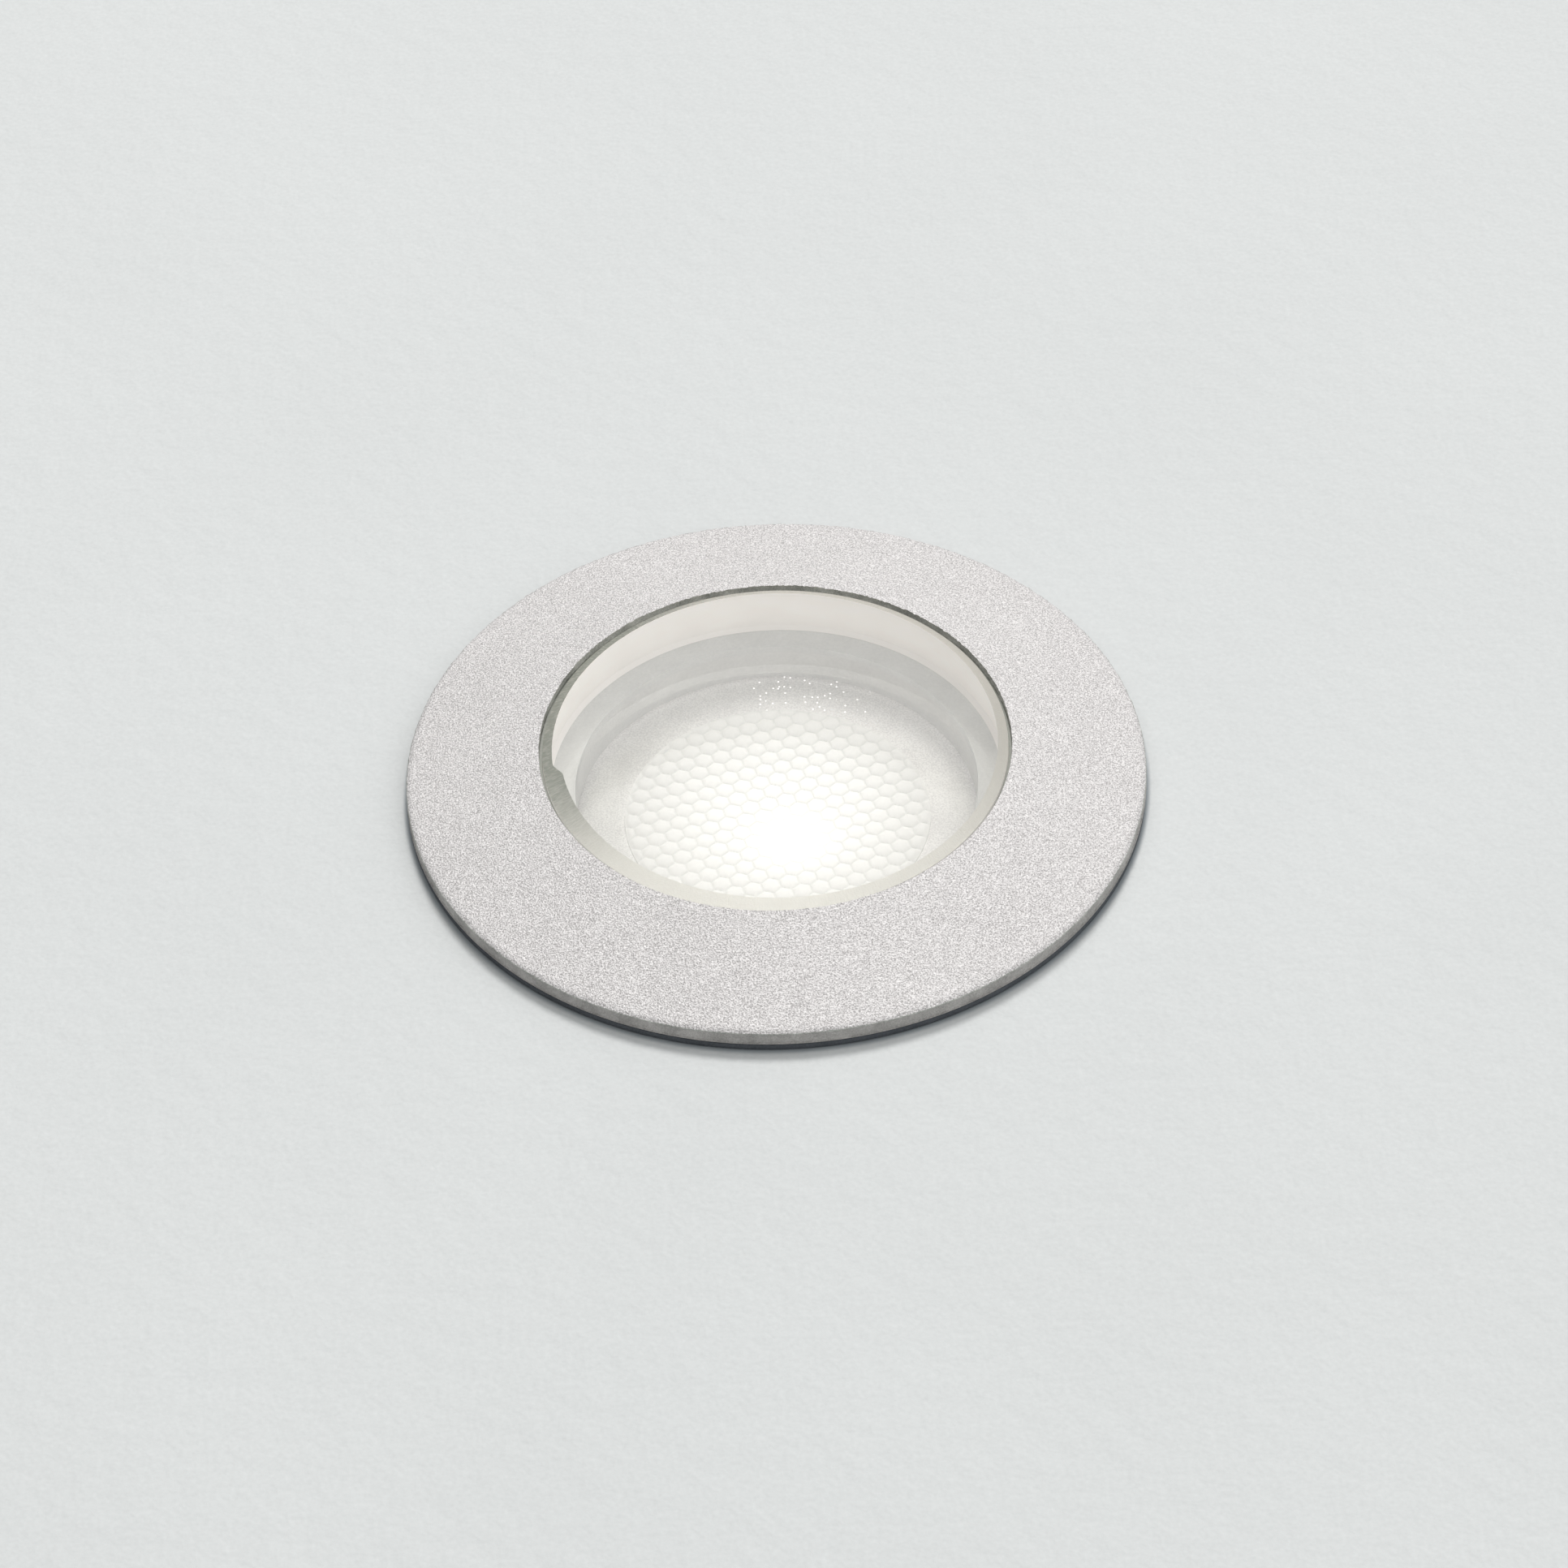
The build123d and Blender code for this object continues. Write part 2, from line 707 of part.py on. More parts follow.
# Rear cap: a plate with a sealed spigot, a threaded boss hole and sunk screw heads
spigot_radius = rear_bore_radius - cap_spigot_clearance
spigot_bore_radius = spigot_radius - cap_wall
cap_seal_outer = rear_bore_radius - cap_seal_gap
cap_groove_radius = cap_seal_outer - cap_seal_wire - cap_seal_gap
cap_groove_width = cap_seal_wire + 2 * cap_seal_gap
cap_groove_middle = (housing_end + spigot_top) / 2
with BuildPart() as rear_cap:
    with BuildSketch(Plane.XZ):
        with BuildLine():
            Polyline(
                (0, cap_under),
                (housing_radius, cap_under),
                (housing_radius, housing_end),
                (spigot_radius, housing_end),
                (spigot_radius, spigot_top),
                (spigot_bore_radius, spigot_top),
                (spigot_bore_radius, housing_end),
                (0, housing_end),
                close=True,
            )
        make_face()
    revolve(axis=Axis.Z)
    chamfer(circle_edge(rear_cap, housing_radius, cap_under), cap_edge_bevel)
    with BuildSketch(Plane.XZ):
        ring_section(
            cap_groove_radius,
            spigot_radius + overrun,
            cap_groove_middle - cap_groove_width / 2,
            cap_groove_middle + cap_groove_width / 2,
        )
    revolve(axis=Axis.Z, mode=Mode.SUBTRACT)
    with Locations(facing_down(cap_under)):
        Hole(gland_stem_radius + gland_stem_slip, cap_thickness + overrun)
        with PolarLocations(cap_screw_circle, cap_screw_count, start_angle=-cap_screw_angle):
            CounterBoreHole(
                cap_screw_radius + screw_clearance,
                cap_screw_head_radius + screw_clearance,
                cap_screw_head_height,
                cap_thickness + overrun,
            )

# Rear cap seal in the spigot's groove
with BuildPart() as rear_cap_seal:
    with BuildSketch(Plane.XZ):
        wire_section(cap_seal_outer - cap_seal_wire / 2, cap_groove_middle, cap_seal_wire)
    revolve(axis=Axis.Z)

# Rear cap screws, from below
cap_screw_length = cap_thickness - cap_screw_head_height + cap_screw_grip
cap_screw = pan_head_screw(
    cap_screw_radius,
    cap_screw_length,
    cap_screw_head_radius,
    cap_screw_head_height,
)
with BuildPart() as rear_cap_screws:
    with Locations(facing_down(cap_under + cap_screw_head_height)):
        with PolarLocations(cap_screw_circle, cap_screw_count, start_angle=-cap_screw_angle):
            add(cap_screw)

# Gland gasket between the rear cap and the gland's flange
with BuildPart() as gland_gasket:
    with BuildSketch(Plane.XY.offset(gland_seat)):
        Circle(gland_flats_radius - gland_corner_bevel)
        Circle(gland_stem_radius + gland_stem_slip, mode=Mode.SUBTRACT)
    extrude(amount=gland_gasket_thickness)

# Gland body: stem in the cap, hexagonal flange, and a collar cut into clamping fingers
with BuildPart() as gland_body:
    with BuildSketch(Plane.XY.offset(gland_flange_under)):
        RegularPolygon(gland_flats_radius, side_count=6, major_radius=False)
    extrude(amount=gland_flange_height)
    with BuildSketch(Plane.XY.offset(gland_seat)):
        Circle(gland_stem_radius)
    extrude(amount=gland_gasket_thickness + cap_thickness)
    with BuildSketch(Plane.XY.offset(gland_flange_under)):
        Circle(gland_collar_radius)
    extrude(amount=-gland_collar_length)
    with Locations(facing_down(collar_end)):
        CounterBoreHole(
            gland_bore_radius,
            insert_radius + insert_slip,
            insert_top - collar_end,
            housing_end - collar_end + overrun,
        )
    with Locations(Plane.XY.offset(collar_end + gland_finger_length / 2)):
        with PolarLocations((insert_radius + gland_collar_radius) / 2, gland_finger_count):
            Box(
                gland_collar_radius - insert_radius + overrun,
                gland_finger_slot,
                gland_finger_length,
                mode=Mode.SUBTRACT,
            )

# Gland insert: the rubber bush that grips the cable
with BuildPart() as gland_insert:
    with BuildSketch(Plane.XY.offset(insert_end)):
        Circle(insert_radius)
        Circle(insert_bore_radius, mode=Mode.SUBTRACT)
    extrude(amount=insert_length)
    chamfer(circle_edge(gland_insert, insert_radius, insert_end), insert_bevel)

# Slip washer between the insert and the nut
nut_bore_radius = gland_collar_radius + nut_thread_clearance
with BuildPart() as gland_washer:
    with BuildSketch(Plane.XY.offset(washer_under)):
        Circle(nut_bore_radius - nut_thread_clearance)
        Circle(gland_bore_radius, mode=Mode.SUBTRACT)
    extrude(amount=washer_thickness)

# Gland nut: a hexagon with a domed end, bored for the collar and for the cable
nut_corner_radius = gland_flats_radius / cos(radians(30))
with BuildPart() as gland_nut:
    with BuildSketch(Plane.XY.offset(nut_end)):
        RegularPolygon(gland_flats_radius, side_count=6, major_radius=False)
    extrude(amount=nut_top - nut_end)
    with BuildSketch(Plane.XZ):
        with BuildLine():
            Polyline(
                (0, nut_top),
                (nut_corner_radius - gland_corner_bevel, nut_top),
                (nut_corner_radius, nut_top - gland_corner_bevel),
                (nut_corner_radius, nut_end + nut_dome_drop),
            )
            RadiusArc(
                (nut_corner_radius, nut_end + nut_dome_drop),
                (nut_corner_radius - nut_dome_inset, nut_end),
                nut_corner_radius,
            )
            Polyline((nut_corner_radius - nut_dome_inset, nut_end), (0, nut_end), (0, nut_top))
        make_face()
    revolve(axis=Axis.Z, mode=Mode.INTERSECT)
    with Locations(Plane.XY.offset(nut_top)):
        CounterBoreHole(
            nut_mouth_radius,
            nut_bore_radius,
            nut_top - washer_under,
            nut_top - nut_end + overrun,
        )

# Ground sleeve: tube, floor, conduit socket, gussets and side windows
socket_radius = socket_bore_radius + socket_wall
window_middle_height = sleeve_inner_floor + window_floor_gap + window_height / 2
with BuildPart() as ground_sleeve:
    with BuildSketch(Plane.XZ):
        with BuildLine():
            Polyline(
                (socket_bore_radius, socket_end),
                (socket_radius, socket_end),
                (socket_radius, sleeve_end),
                (sleeve_radius, sleeve_end),
                (sleeve_radius, 0),
                (sleeve_bore_radius + sleeve_mouth_bevel, 0),
                (sleeve_bore_radius, -sleeve_mouth_bevel),
                (sleeve_bore_radius, sleeve_inner_floor),
                (socket_bore_radius, sleeve_inner_floor),
                close=True,
            )
        make_face()
    revolve(axis=Axis.Z)
    with BuildSketch(Plane.XY.offset(window_middle_height)):
        for angle in range(0, 180, 360 // window_count):
            Rectangle(2 * (sleeve_radius + overrun), window_width, rotation=angle)
        Circle(sleeve_bore_radius - sleeve_wall, mode=Mode.SUBTRACT)
    extrude(amount=window_height / 2, both=True, mode=Mode.SUBTRACT)
    gusset_reach = sleeve_radius - socket_radius
    with BuildSketch(Plane.XZ):
        with BuildLine():
            Polyline(
                (socket_radius - socket_wall / 2, sleeve_end + sleeve_floor / 2),
                (socket_radius + gusset_reach - gusset_foot, sleeve_end + sleeve_floor / 2),
                (socket_radius + gusset_reach - gusset_foot, sleeve_end),
                (socket_radius + gusset_foot, sleeve_end - gusset_drop),
                (socket_radius - socket_wall / 2, sleeve_end - gusset_drop),
                close=True,
            )
        make_face()
    gusset = extrude(amount=gusset_thickness / 2, both=True, mode=Mode.PRIVATE)
    with PolarLocations(0, gusset_count):
        add(gusset)

pieces = {
    "glass": glass,
    "glass_sealant": glass_sealant,
    "seat_gasket": seat_gasket,
    "front_ring": front_ring,
    "ring_gasket": ring_gasket,
    "housing": housing,
    "front_seal": front_seal,
    "grip_rings": grip_rings,
    "lens": lens,
    "lens_holder": lens_holder,
    "led_package": led_package,
    "led_dome": led_dome,
    "led_board": led_board,
    "thermal_pad": thermal_pad,
    "board_screws": board_screws,
    "driver_spacers": driver_spacers,
    "driver_board": driver_board,
    "driver_screws": driver_screws,
    "driver_coil": driver_coil,
    "driver_capacitor": driver_capacitor,
    "driver_chips": driver_chips,
    "terminal_block": terminal_block,
    "rear_cap": rear_cap,
    "rear_cap_seal": rear_cap_seal,
    "rear_cap_screws": rear_cap_screws,
    "gland_gasket": gland_gasket,
    "gland_body": gland_body,
    "gland_insert": gland_insert,
    "gland_washer": gland_washer,
    "gland_nut": gland_nut,
    "ground_sleeve": ground_sleeve,
}

os.makedirs("parts", exist_ok=True)
for name, piece in pieces.items():
    piece.part.label = name
    export_step(piece.part, f"parts/{name}.step")

print("outer diameter", 2 * ring_radius)
print("front ring travel", ring_travel, "nut travel", nut_travel)
print("lens cells", len(cells))
print("levels: glass top", glass_top, "socket end", socket_end)
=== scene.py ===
import json
from math import atan2, cos, pi, radians, sin

import bpy
import numpy as np
from mathutils import Matrix, Vector, noise


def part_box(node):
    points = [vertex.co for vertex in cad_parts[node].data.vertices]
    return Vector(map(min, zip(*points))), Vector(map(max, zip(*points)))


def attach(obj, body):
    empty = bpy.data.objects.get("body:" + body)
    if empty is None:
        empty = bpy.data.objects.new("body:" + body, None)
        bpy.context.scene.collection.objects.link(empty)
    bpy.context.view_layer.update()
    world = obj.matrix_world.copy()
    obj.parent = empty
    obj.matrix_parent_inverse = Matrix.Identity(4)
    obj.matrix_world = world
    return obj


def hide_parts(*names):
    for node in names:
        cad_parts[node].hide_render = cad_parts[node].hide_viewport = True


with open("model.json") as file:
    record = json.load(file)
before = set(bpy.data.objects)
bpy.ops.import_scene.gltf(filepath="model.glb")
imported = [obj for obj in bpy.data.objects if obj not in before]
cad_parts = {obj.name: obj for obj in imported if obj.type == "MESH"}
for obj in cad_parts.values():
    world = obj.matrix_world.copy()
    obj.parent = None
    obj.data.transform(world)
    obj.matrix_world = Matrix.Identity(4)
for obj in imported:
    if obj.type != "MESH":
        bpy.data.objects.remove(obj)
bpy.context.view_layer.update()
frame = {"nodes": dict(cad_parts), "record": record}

# Metres, +Z up. The light stands in the ground, whose surface is at height zero.
mm = 0.001

# Two places that are nearer to each other than this count as the same.
closeness = 0.001 * mm

# Angles over which an edge stays crisp: on cut glass, and on cast or moulded pieces
crisp = radians(8)
soft = radians(40)

# Degrees between the points of an arc
arc_step = 15

# Nearly all of a noise lies in the first range, and the mean of two noises in the second.
noise_range = (0.3, 0.7)
mean_range = (0.35, 0.65)


def reach(node):
    """Radius of a round node."""
    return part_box(node)[1].x


def top(node):
    """Height of a node's highest point."""
    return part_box(node)[1].z


def bottom(node):
    """Height of a node's lowest point."""
    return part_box(node)[0].z


# Camera, as the photograph was taken
photo_side = 1932
focal_pixels = 6113.0
camera_distance = 368.6 * mm
camera_elevation = radians(43.73)
camera_roll = radians(-2.011)
camera_offset = (-0.549 * mm, 1.462 * mm)
camera_clip = (10 * mm, 20.0)
sensor_width = 36.0

# Light. The lamp stays out of the place that the glass mirrors towards the camera.
world_low = 0.06
world_high = 0.87
world_side = 0.34
world_tint = (0.985, 1.0, 1.005, 1.0)
key_power = 45.5
key_tint = (1.0, 0.99, 0.98)
key_distance = 3.0
key_size = 0.9
key_azimuth = radians(4)
key_elevation = radians(57)

# Floor, with rings of corners between its rim and its hole
floor_colour = (0.750, 0.765, 0.760, 1.0)
floor_shade = 0.93
floor_relief = 0.14 * mm
floor_reach = 4.0
floor_rings = (0.3, 0.06)
# Painted contact shadow: colour and width of a dark band on the floor beside the ring
painted_contact_shadow = (0.38, 0.41, 0.43, 1)
painted_contact_shadow_width = 0.45 * mm
floor_hole_gap = 0.2 * mm
floor_segments = 192

# Front ring
ring_segments = 1080
ring_edge = 1.72 * mm
ring_edge_round = 0.08 * mm
ring_bore_radius = 17.52 * mm
ring_bore_depth = 1.2 * mm
ring_skirt_bevel = 0.5 * mm
ring_skirt_bore_radius = 18.05 * mm
ring_neck_radius = 19.65 * mm
ring_seat_radius = 15.02 * mm
ring_seat_under = -7.01 * mm
ring_step = 0.15 * mm
ring_relief = 0.012 * mm
ring_relief_size = 0.55 * mm
ring_relief_seed = 7
ring_rim_relief = 0.10 * mm
ring_rim_relief_size = 0.22 * mm
ring_rim_relief_seed = 23
ring_rim_width = 0.16 * mm
ring_outer_share = 0.9

# Gasket under the ring
gasket_segments = 360
gasket_bore_radius = 25.2 * mm
gasket_swell = 0.48 * mm
gasket_squareness = 8
gasket_arc_step = 20

# Glass
glass_segments = 720
glass_bottom_bevel = 0.4 * mm
glass_bottom_gap = 0.02 * mm
smudge_depth = 0.1 * mm
grind_width = 0.72 * mm
grind_growth = 0.1 * mm
grind_swell = 0.52 * mm
grind_swell_start = 0.68
grind_swell_end = 0.97
grind_step_turn = radians(4.7)
grind_step_angle = radians(-169.8)
grind_depth = 0.38 * mm
grind_depth_share = 0.12
grind_rag = 0.018 * mm
grind_rag_size = 0.35 * mm
grind_rag_seed = 41
dull_angle = radians(160)
dull_reach = (21 * mm, 8 * mm)
dull_colour = (0.15, 0.168, 0.14, 1)
inner_colour = (0.05, 0.05, 0.045, 1)

# Lens
lens_segments = 600
lens_face_step = 0.095 * mm
lens_rim_gap = 0.02 * mm
lens_rim_thickness = 1.5 * mm
lens_shoulder_width = 1.0 * mm
lens_base_radius = 4.6 * mm
lens_bulge_share = 0.8
holder_bore_radius = 11.5 * mm
cell_pitch = 1.38 * mm
cell_turn = radians(14)
cell_offset = (0.28 * mm, 0.14 * mm)
cell_height = 0.22 * mm
cell_sharpness = 3.2
cell_fade = 0.35 * mm

# Angle from one pair of a six-sided cell's sides to the next
slant = radians(60)

# Patches of painted light, as glow, each with the distances from its centre between which it changes.
# The lit part is where the lamp reaches, and hot and wide are two patches on the lens.
lit_centre = (-0.7 * mm, -7.0 * mm)
lit_reach = (15.5 * mm, 19 * mm)
hot_centre = (1.0 * mm, -2.5 * mm)
hot_reach = (0.8 * mm, 4.6 * mm)
hot_glow = 0.2
wide_centre = (1.0 * mm, -0.5 * mm)
wide_reach = (4 * mm, 12 * mm)
wide_glow = 0.26
plate_centre = (1.2 * mm, 0.0)
plate_reach = (11 * mm, 14.5 * mm)
plate_change = (0.05, -0.14)
# The foot's glow is painted light that lifts the shade where the plate meets the ring's seat.
foot_reach = (14.4 * mm, 15.1 * mm)
foot_glow = 0.06

# Levels of painted light, as glow, at the near and at the far side of the recess. The far side's higher
# level makes up for the ring's shadow there.
lens_glow = (0.22, 0.39)
plate_glow = (0.10, 0.29)
seat_glow = (0.06, 0.17)
silicone_glow = (0.06, 0.29)

# Levels of painted light, as glow, at the bottom and at the top of the glass's side, standing for light
# that comes through the glass
wall_glow = (0.19, 0.28)

# Painted glints on the plate, as bright specks that glow. The last value is the share of places with a
# glint at the centre.
spark_centre = (2.5 * mm, 13.2 * mm)
spark_reach = (6 * mm, 2 * mm)
spark_pitch = 0.5 * mm
spark_radius_share = 0.13
spark_share = 0.4


def smooth_step(value, start, end):
    """Rises smoothly from 0 at start to 1 at end."""
    share = np.clip((value - start) / (end - start), 0, 1)
    return share * share * (3 - 2 * share)


def span(start, end, step):
    """Evenly spaced values from start to just before end."""
    count = max(1, round(abs(end - start) / step))
    return [start + (end - start) * i / count for i in range(count)]


def arc(radius, height, size, start, end):
    """Points of an arc about that radius and height. 0 degrees is outwards and 90 is up."""
    turn = [radians(angle) for angle in range(start, end + 1, arc_step)]
    return [(radius + size * cos(angle), height + size * sin(angle)) for angle in turn]


def grain(points, size, seed):
    """Smooth noise from -1 to 1 at each of the points, with bumps of about that size."""
    shift = Vector((seed, seed / 2, -seed))
    return np.array([noise.noise(Vector(point) / size + shift) for point in points])


def around(segments):
    """The angles of a turned piece's columns."""
    return np.arange(segments) * 2 * pi / segments


def turned(name, radii, heights, strips, sharp, *materials):
    """Mesh turned about Z. Each row of the two grids is a station of the outline, anticlockwise in the
    plane of radius and height, and each column an angle. strips says which of the materials each strip
    takes, and edges that turn by more than the angle sharp stay crisp."""
    stations, segments = radii.shape
    angles = around(segments)
    points, index = [], []
    for radius, height in zip(radii, heights):
        if radius.max() < closeness:
            index.append(np.full(segments, len(points)))
            points.append((0.0, 0.0, float(height[0])))
        else:
            index.append(len(points) + np.arange(segments))
            ring = np.stack((radius * np.cos(angles), radius * np.sin(angles), height), axis=1)
            points.extend(ring.tolist())
    faces, indices = [], []
    for strip, material_index in enumerate(strips):
        here, there = index[strip], index[(strip + 1) % stations]
        here_next, there_next = np.roll(here, -1), np.roll(there, -1)
        if here[0] == here[-1]:
            corners = (here, there_next, there)
        elif there[0] == there[-1]:
            corners = (here, here_next, there)
        else:
            corners = (here, here_next, there_next, there)
        faces.extend(np.stack(corners, axis=1).tolist())
        indices.extend([material_index] * segments)
    mesh = bpy.data.meshes.new(name)
    mesh.from_pydata(points, [], faces)
    mesh.polygons.foreach_set("material_index", indices)
    mesh.shade_smooth()
    mesh.set_sharp_from_angle(angle=sharp)
    mesh.update()
    for material in materials:
        mesh.materials.append(material)
    piece = bpy.data.objects.new(name, mesh)
    bpy.context.scene.collection.objects.link(piece)
    return piece


def grid(outline, segments):
    """Grids of radii and heights for a round outline."""
    radii = np.repeat(np.array([[point[0]] for point in outline]), segments, axis=1)
    heights = np.repeat(np.array([[point[1]] for point in outline]), segments, axis=1)
    return radii, heights


# Node trees

def add(tree, kind, inputs=None, **settings):
    """Adds a node. An input's value is a number, a colour, a vector or another node's output."""
    node = tree.nodes.new(kind)
    for key, value in settings.items():
        setattr(node, key, value)
    for key, value in (inputs or {}).items():
        if isinstance(value, bpy.types.NodeSocket):
            tree.links.new(value, node.inputs[key])
        else:
            node.inputs[key].default_value = value
    return node


def new_material(name):
    material = bpy.data.materials.new(name)
    material.use_nodes = True
    material.node_tree.nodes.clear()
    return material, material.node_tree


def show(tree, surface):
    add(tree, "ShaderNodeOutputMaterial", {"Surface": surface})


def show_principled(tree, inputs):
    show(tree, add(tree, "ShaderNodeBsdfPrincipled", inputs).outputs[0])


def place(tree):
    """Coordinates in the light's own frame, in metres."""
    return add(tree, "ShaderNodeTexCoord").outputs["Object"]


def height_of(tree):
    """Height in the light's own frame."""
    return add(tree, "ShaderNodeSeparateXYZ", {0: place(tree)}).outputs["Z"]


def math(tree, operation, first, second=0.0, clamp=False):
    node = add(tree, "ShaderNodeMath", {0: first, 1: second}, operation=operation, use_clamp=clamp)
    return node.outputs[0]


def total(tree, first, *others):
    for other in others:
        first = math(tree, "ADD", first, other)
    return first


def product(tree, first, second, clamp=False):
    return math(tree, "MULTIPLY", first, second, clamp)


def fit(tree, value, low, high, to_low=0.0, to_high=1.0, smooth=False):
    """Turns low into to_low and high into to_high, evenly or smoothly between, and stops at both."""
    inputs = {"Value": value, "From Min": low, "From Max": high, "To Min": to_low, "To Max": to_high}
    kind = "SMOOTHSTEP" if smooth else "LINEAR"
    return add(tree, "ShaderNodeMapRange", inputs, interpolation_type=kind).outputs["Result"]


def vary(tree, pattern, low, high):
    """A noise as values from low to high."""
    return fit(tree, pattern, *noise_range, low, high)


def between(tree, share, levels):
    """The first level where share is 0, and the second where it is 1."""
    return fit(tree, share, 0.0, 1.0, *levels)


def mix(tree, factor, first, second):
    """Blend of two colours."""
    return add(tree, "ShaderNodeMix", {0: factor, 6: first, 7: second}, data_type="RGBA").outputs[2]


def speckle(tree, size, detail=2.0, vector=None):
    """Noise from about 0 to 1 with bumps of about that size."""
    inputs = {"Vector": vector or place(tree), "Scale": 1 / size, "Detail": detail, "Roughness": 0.5}
    return add(tree, "ShaderNodeTexNoise", inputs).outputs["Fac"]


def bump(tree, height, depth, normal=None):
    inputs = {"Height": height, "Distance": depth, "Strength": 1.0}
    if normal:
        inputs["Normal"] = normal
    return add(tree, "ShaderNodeBump", inputs).outputs["Normal"]


def polar(tree, stretch_turn, stretch_radius):
    """Coordinates of angle, radius and height, with the first two stretched."""
    parts = add(tree, "ShaderNodeSeparateXYZ", {0: place(tree)}).outputs
    turn = math(tree, "ARCTAN2", parts["Y"], parts["X"])
    square = total(tree, product(tree, parts["X"], parts["X"]), product(tree, parts["Y"], parts["Y"]))
    radius = math(tree, "SQRT", square)
    joined = {
        "X": product(tree, turn, stretch_turn),
        "Y": product(tree, radius, stretch_radius),
        "Z": parts["Z"],
    }
    return add(tree, "ShaderNodeCombineXYZ", joined).outputs[0]


def distance_from(tree, x, y):
    """Distance from an upright line through that place."""
    inputs = {0: place(tree), 1: (1, 1, 0)}
    flat = add(tree, "ShaderNodeVectorMath", inputs, operation="MULTIPLY").outputs[0]
    inputs = {0: flat, 1: (x, y, 0)}
    return add(tree, "ShaderNodeVectorMath", inputs, operation="DISTANCE").outputs["Value"]


def shaded(tree):
    """1 at the far side of the recess, where the ring keeps the lamp's light off, and 0 elsewhere."""
    return fit(tree, distance_from(tree, *lit_centre), *lit_reach, smooth=True)


def cell_distance(tree):
    """How far a place lies from the middle of its honeycomb cell: 0 there and 1 on the outline."""
    centred = add(tree, "ShaderNodeMapping", {
        "Vector": place(tree),
        "Location": (-cell_offset[0], -cell_offset[1], 0),
    }, vector_type="POINT").outputs[0]
    lattice = add(tree, "ShaderNodeMapping", {
        "Vector": centred,
        "Rotation": (0, 0, -cell_turn),
        "Scale": (1 / cell_pitch, 1 / cell_pitch, 0),
    }, vector_type="POINT").outputs[0]
    half = (0.5, sin(slant), 1.0)
    distances = []
    for shift in ((0, 0, 0), half):
        inputs = {0: lattice, 1: shift}
        moved = add(tree, "ShaderNodeVectorMath", inputs, operation="SUBTRACT").outputs[0]
        inputs = {0: moved, 1: half, 2: tuple(-part for part in half)}
        wrapped = add(tree, "ShaderNodeVectorMath", inputs, operation="WRAP").outputs[0]
        size = add(tree, "ShaderNodeVectorMath", {0: wrapped}, operation="ABSOLUTE").outputs[0]
        parts = add(tree, "ShaderNodeSeparateXYZ", {0: size}).outputs
        slanted = total(tree, product(tree, parts["X"], cos(slant)), product(tree, parts["Y"], sin(slant)))
        distances.append(math(tree, "MAXIMUM", parts["X"], slanted))
    return product(tree, math(tree, "MINIMUM", *distances), 2.0, clamp=True)


# Materials

def plain(name, dark, light, size, roughness, relief, metallic=0.0, coat=0.0, specular=0.5, glow=None):
    """Moulded or cast material: two tones mixed by noise, uneven gloss and a fine relief. glow is painted
    light, the share of its colour that it gives off by itself, at the near and at the far side, where it
    makes up for the ring's shadow."""
    material, tree = new_material(name)
    cloud = speckle(tree, size * 14, 3)
    fine = speckle(tree, size, 3)
    tone = product(tree, total(tree, cloud, fine), 0.5)
    colour = mix(tree, fit(tree, tone, *mean_range), dark, light)
    inputs = {
        "Base Color": colour,
        "Roughness": vary(tree, cloud, roughness - 0.06, roughness + 0.06),
        "Metallic": metallic,
        "Coat Weight": coat,
        "Specular IOR Level": specular,
        "Normal": bump(tree, fine, relief),
    }
    if glow:
        inputs["Emission Color"] = colour
        inputs["Emission Strength"] = between(tree, shaded(tree), glow)
    show_principled(tree, inputs)
    return material


def turned_metal(name, dark, light, roughness, pitch, relief):
    """Metal turned on a lathe: fine rings along its height and radius, a little cloudy."""
    material, tree = new_material(name)
    rings = speckle(tree, pitch, 2, polar(tree, 0.0012, 1.0))
    cloud = speckle(tree, 5 * mm, 3)
    tone = product(tree, total(tree, rings, cloud), 0.5)
    show_principled(tree, {
        "Base Color": mix(tree, fit(tree, tone, *mean_range), dark, light),
        "Metallic": 0.85,
        "Roughness": vary(tree, rings, roughness - 0.05, roughness + 0.08),
        "Normal": bump(tree, rings, relief),
    })
    return material


def silver_paint():
    """Textured silver coat: warm light grey, with a grain of about a tenth of a millimetre."""
    material, tree = new_material("textured silver coat")
    coarse = speckle(tree, 0.12 * mm, 1.0)
    fine = speckle(tree, 0.08 * mm, 0.5)
    cloud = speckle(tree, 9 * mm, 2)
    height = total(tree, coarse, product(tree, fine, 0.5))
    grit = total(tree, product(tree, coarse, 0.57), product(tree, fine, 0.4))
    tone = fit(tree, total(tree, grit, product(tree, cloud, 0.03)), 0.38, 0.62)
    show_principled(tree, {
        "Base Color": mix(tree, tone, (0.43, 0.41, 0.407, 1), (0.90, 0.873, 0.866, 1)),
        "Metallic": 0.24,
        "Roughness": vary(tree, fine, 0.42, 0.62),
        "Specular IOR Level": 0.1,
        "Normal": bump(tree, height, 0.06 * mm),
    })
    return material


def show_glass(tree, tint, shadow_tint, roughness, normal):
    """Ends a glass material. Lamps and diffuse light pass straight through it."""
    inputs = {
        "Base Color": tint,
        "Roughness": roughness,
        "IOR": 1.5,
        "Transmission Weight": 1.0,
        "Normal": normal,
    }
    glass = add(tree, "ShaderNodeBsdfPrincipled", inputs).outputs[0]
    clear = add(tree, "ShaderNodeBsdfTransparent", {"Color": shadow_tint}).outputs[0]
    path = add(tree, "ShaderNodeLightPath").outputs
    open_ray = math(tree, "MAXIMUM", path["Is Shadow Ray"], path["Is Diffuse Ray"])
    show(tree, add(tree, "ShaderNodeMixShader", {0: open_ray, 1: glass, 2: clear}).outputs[0])


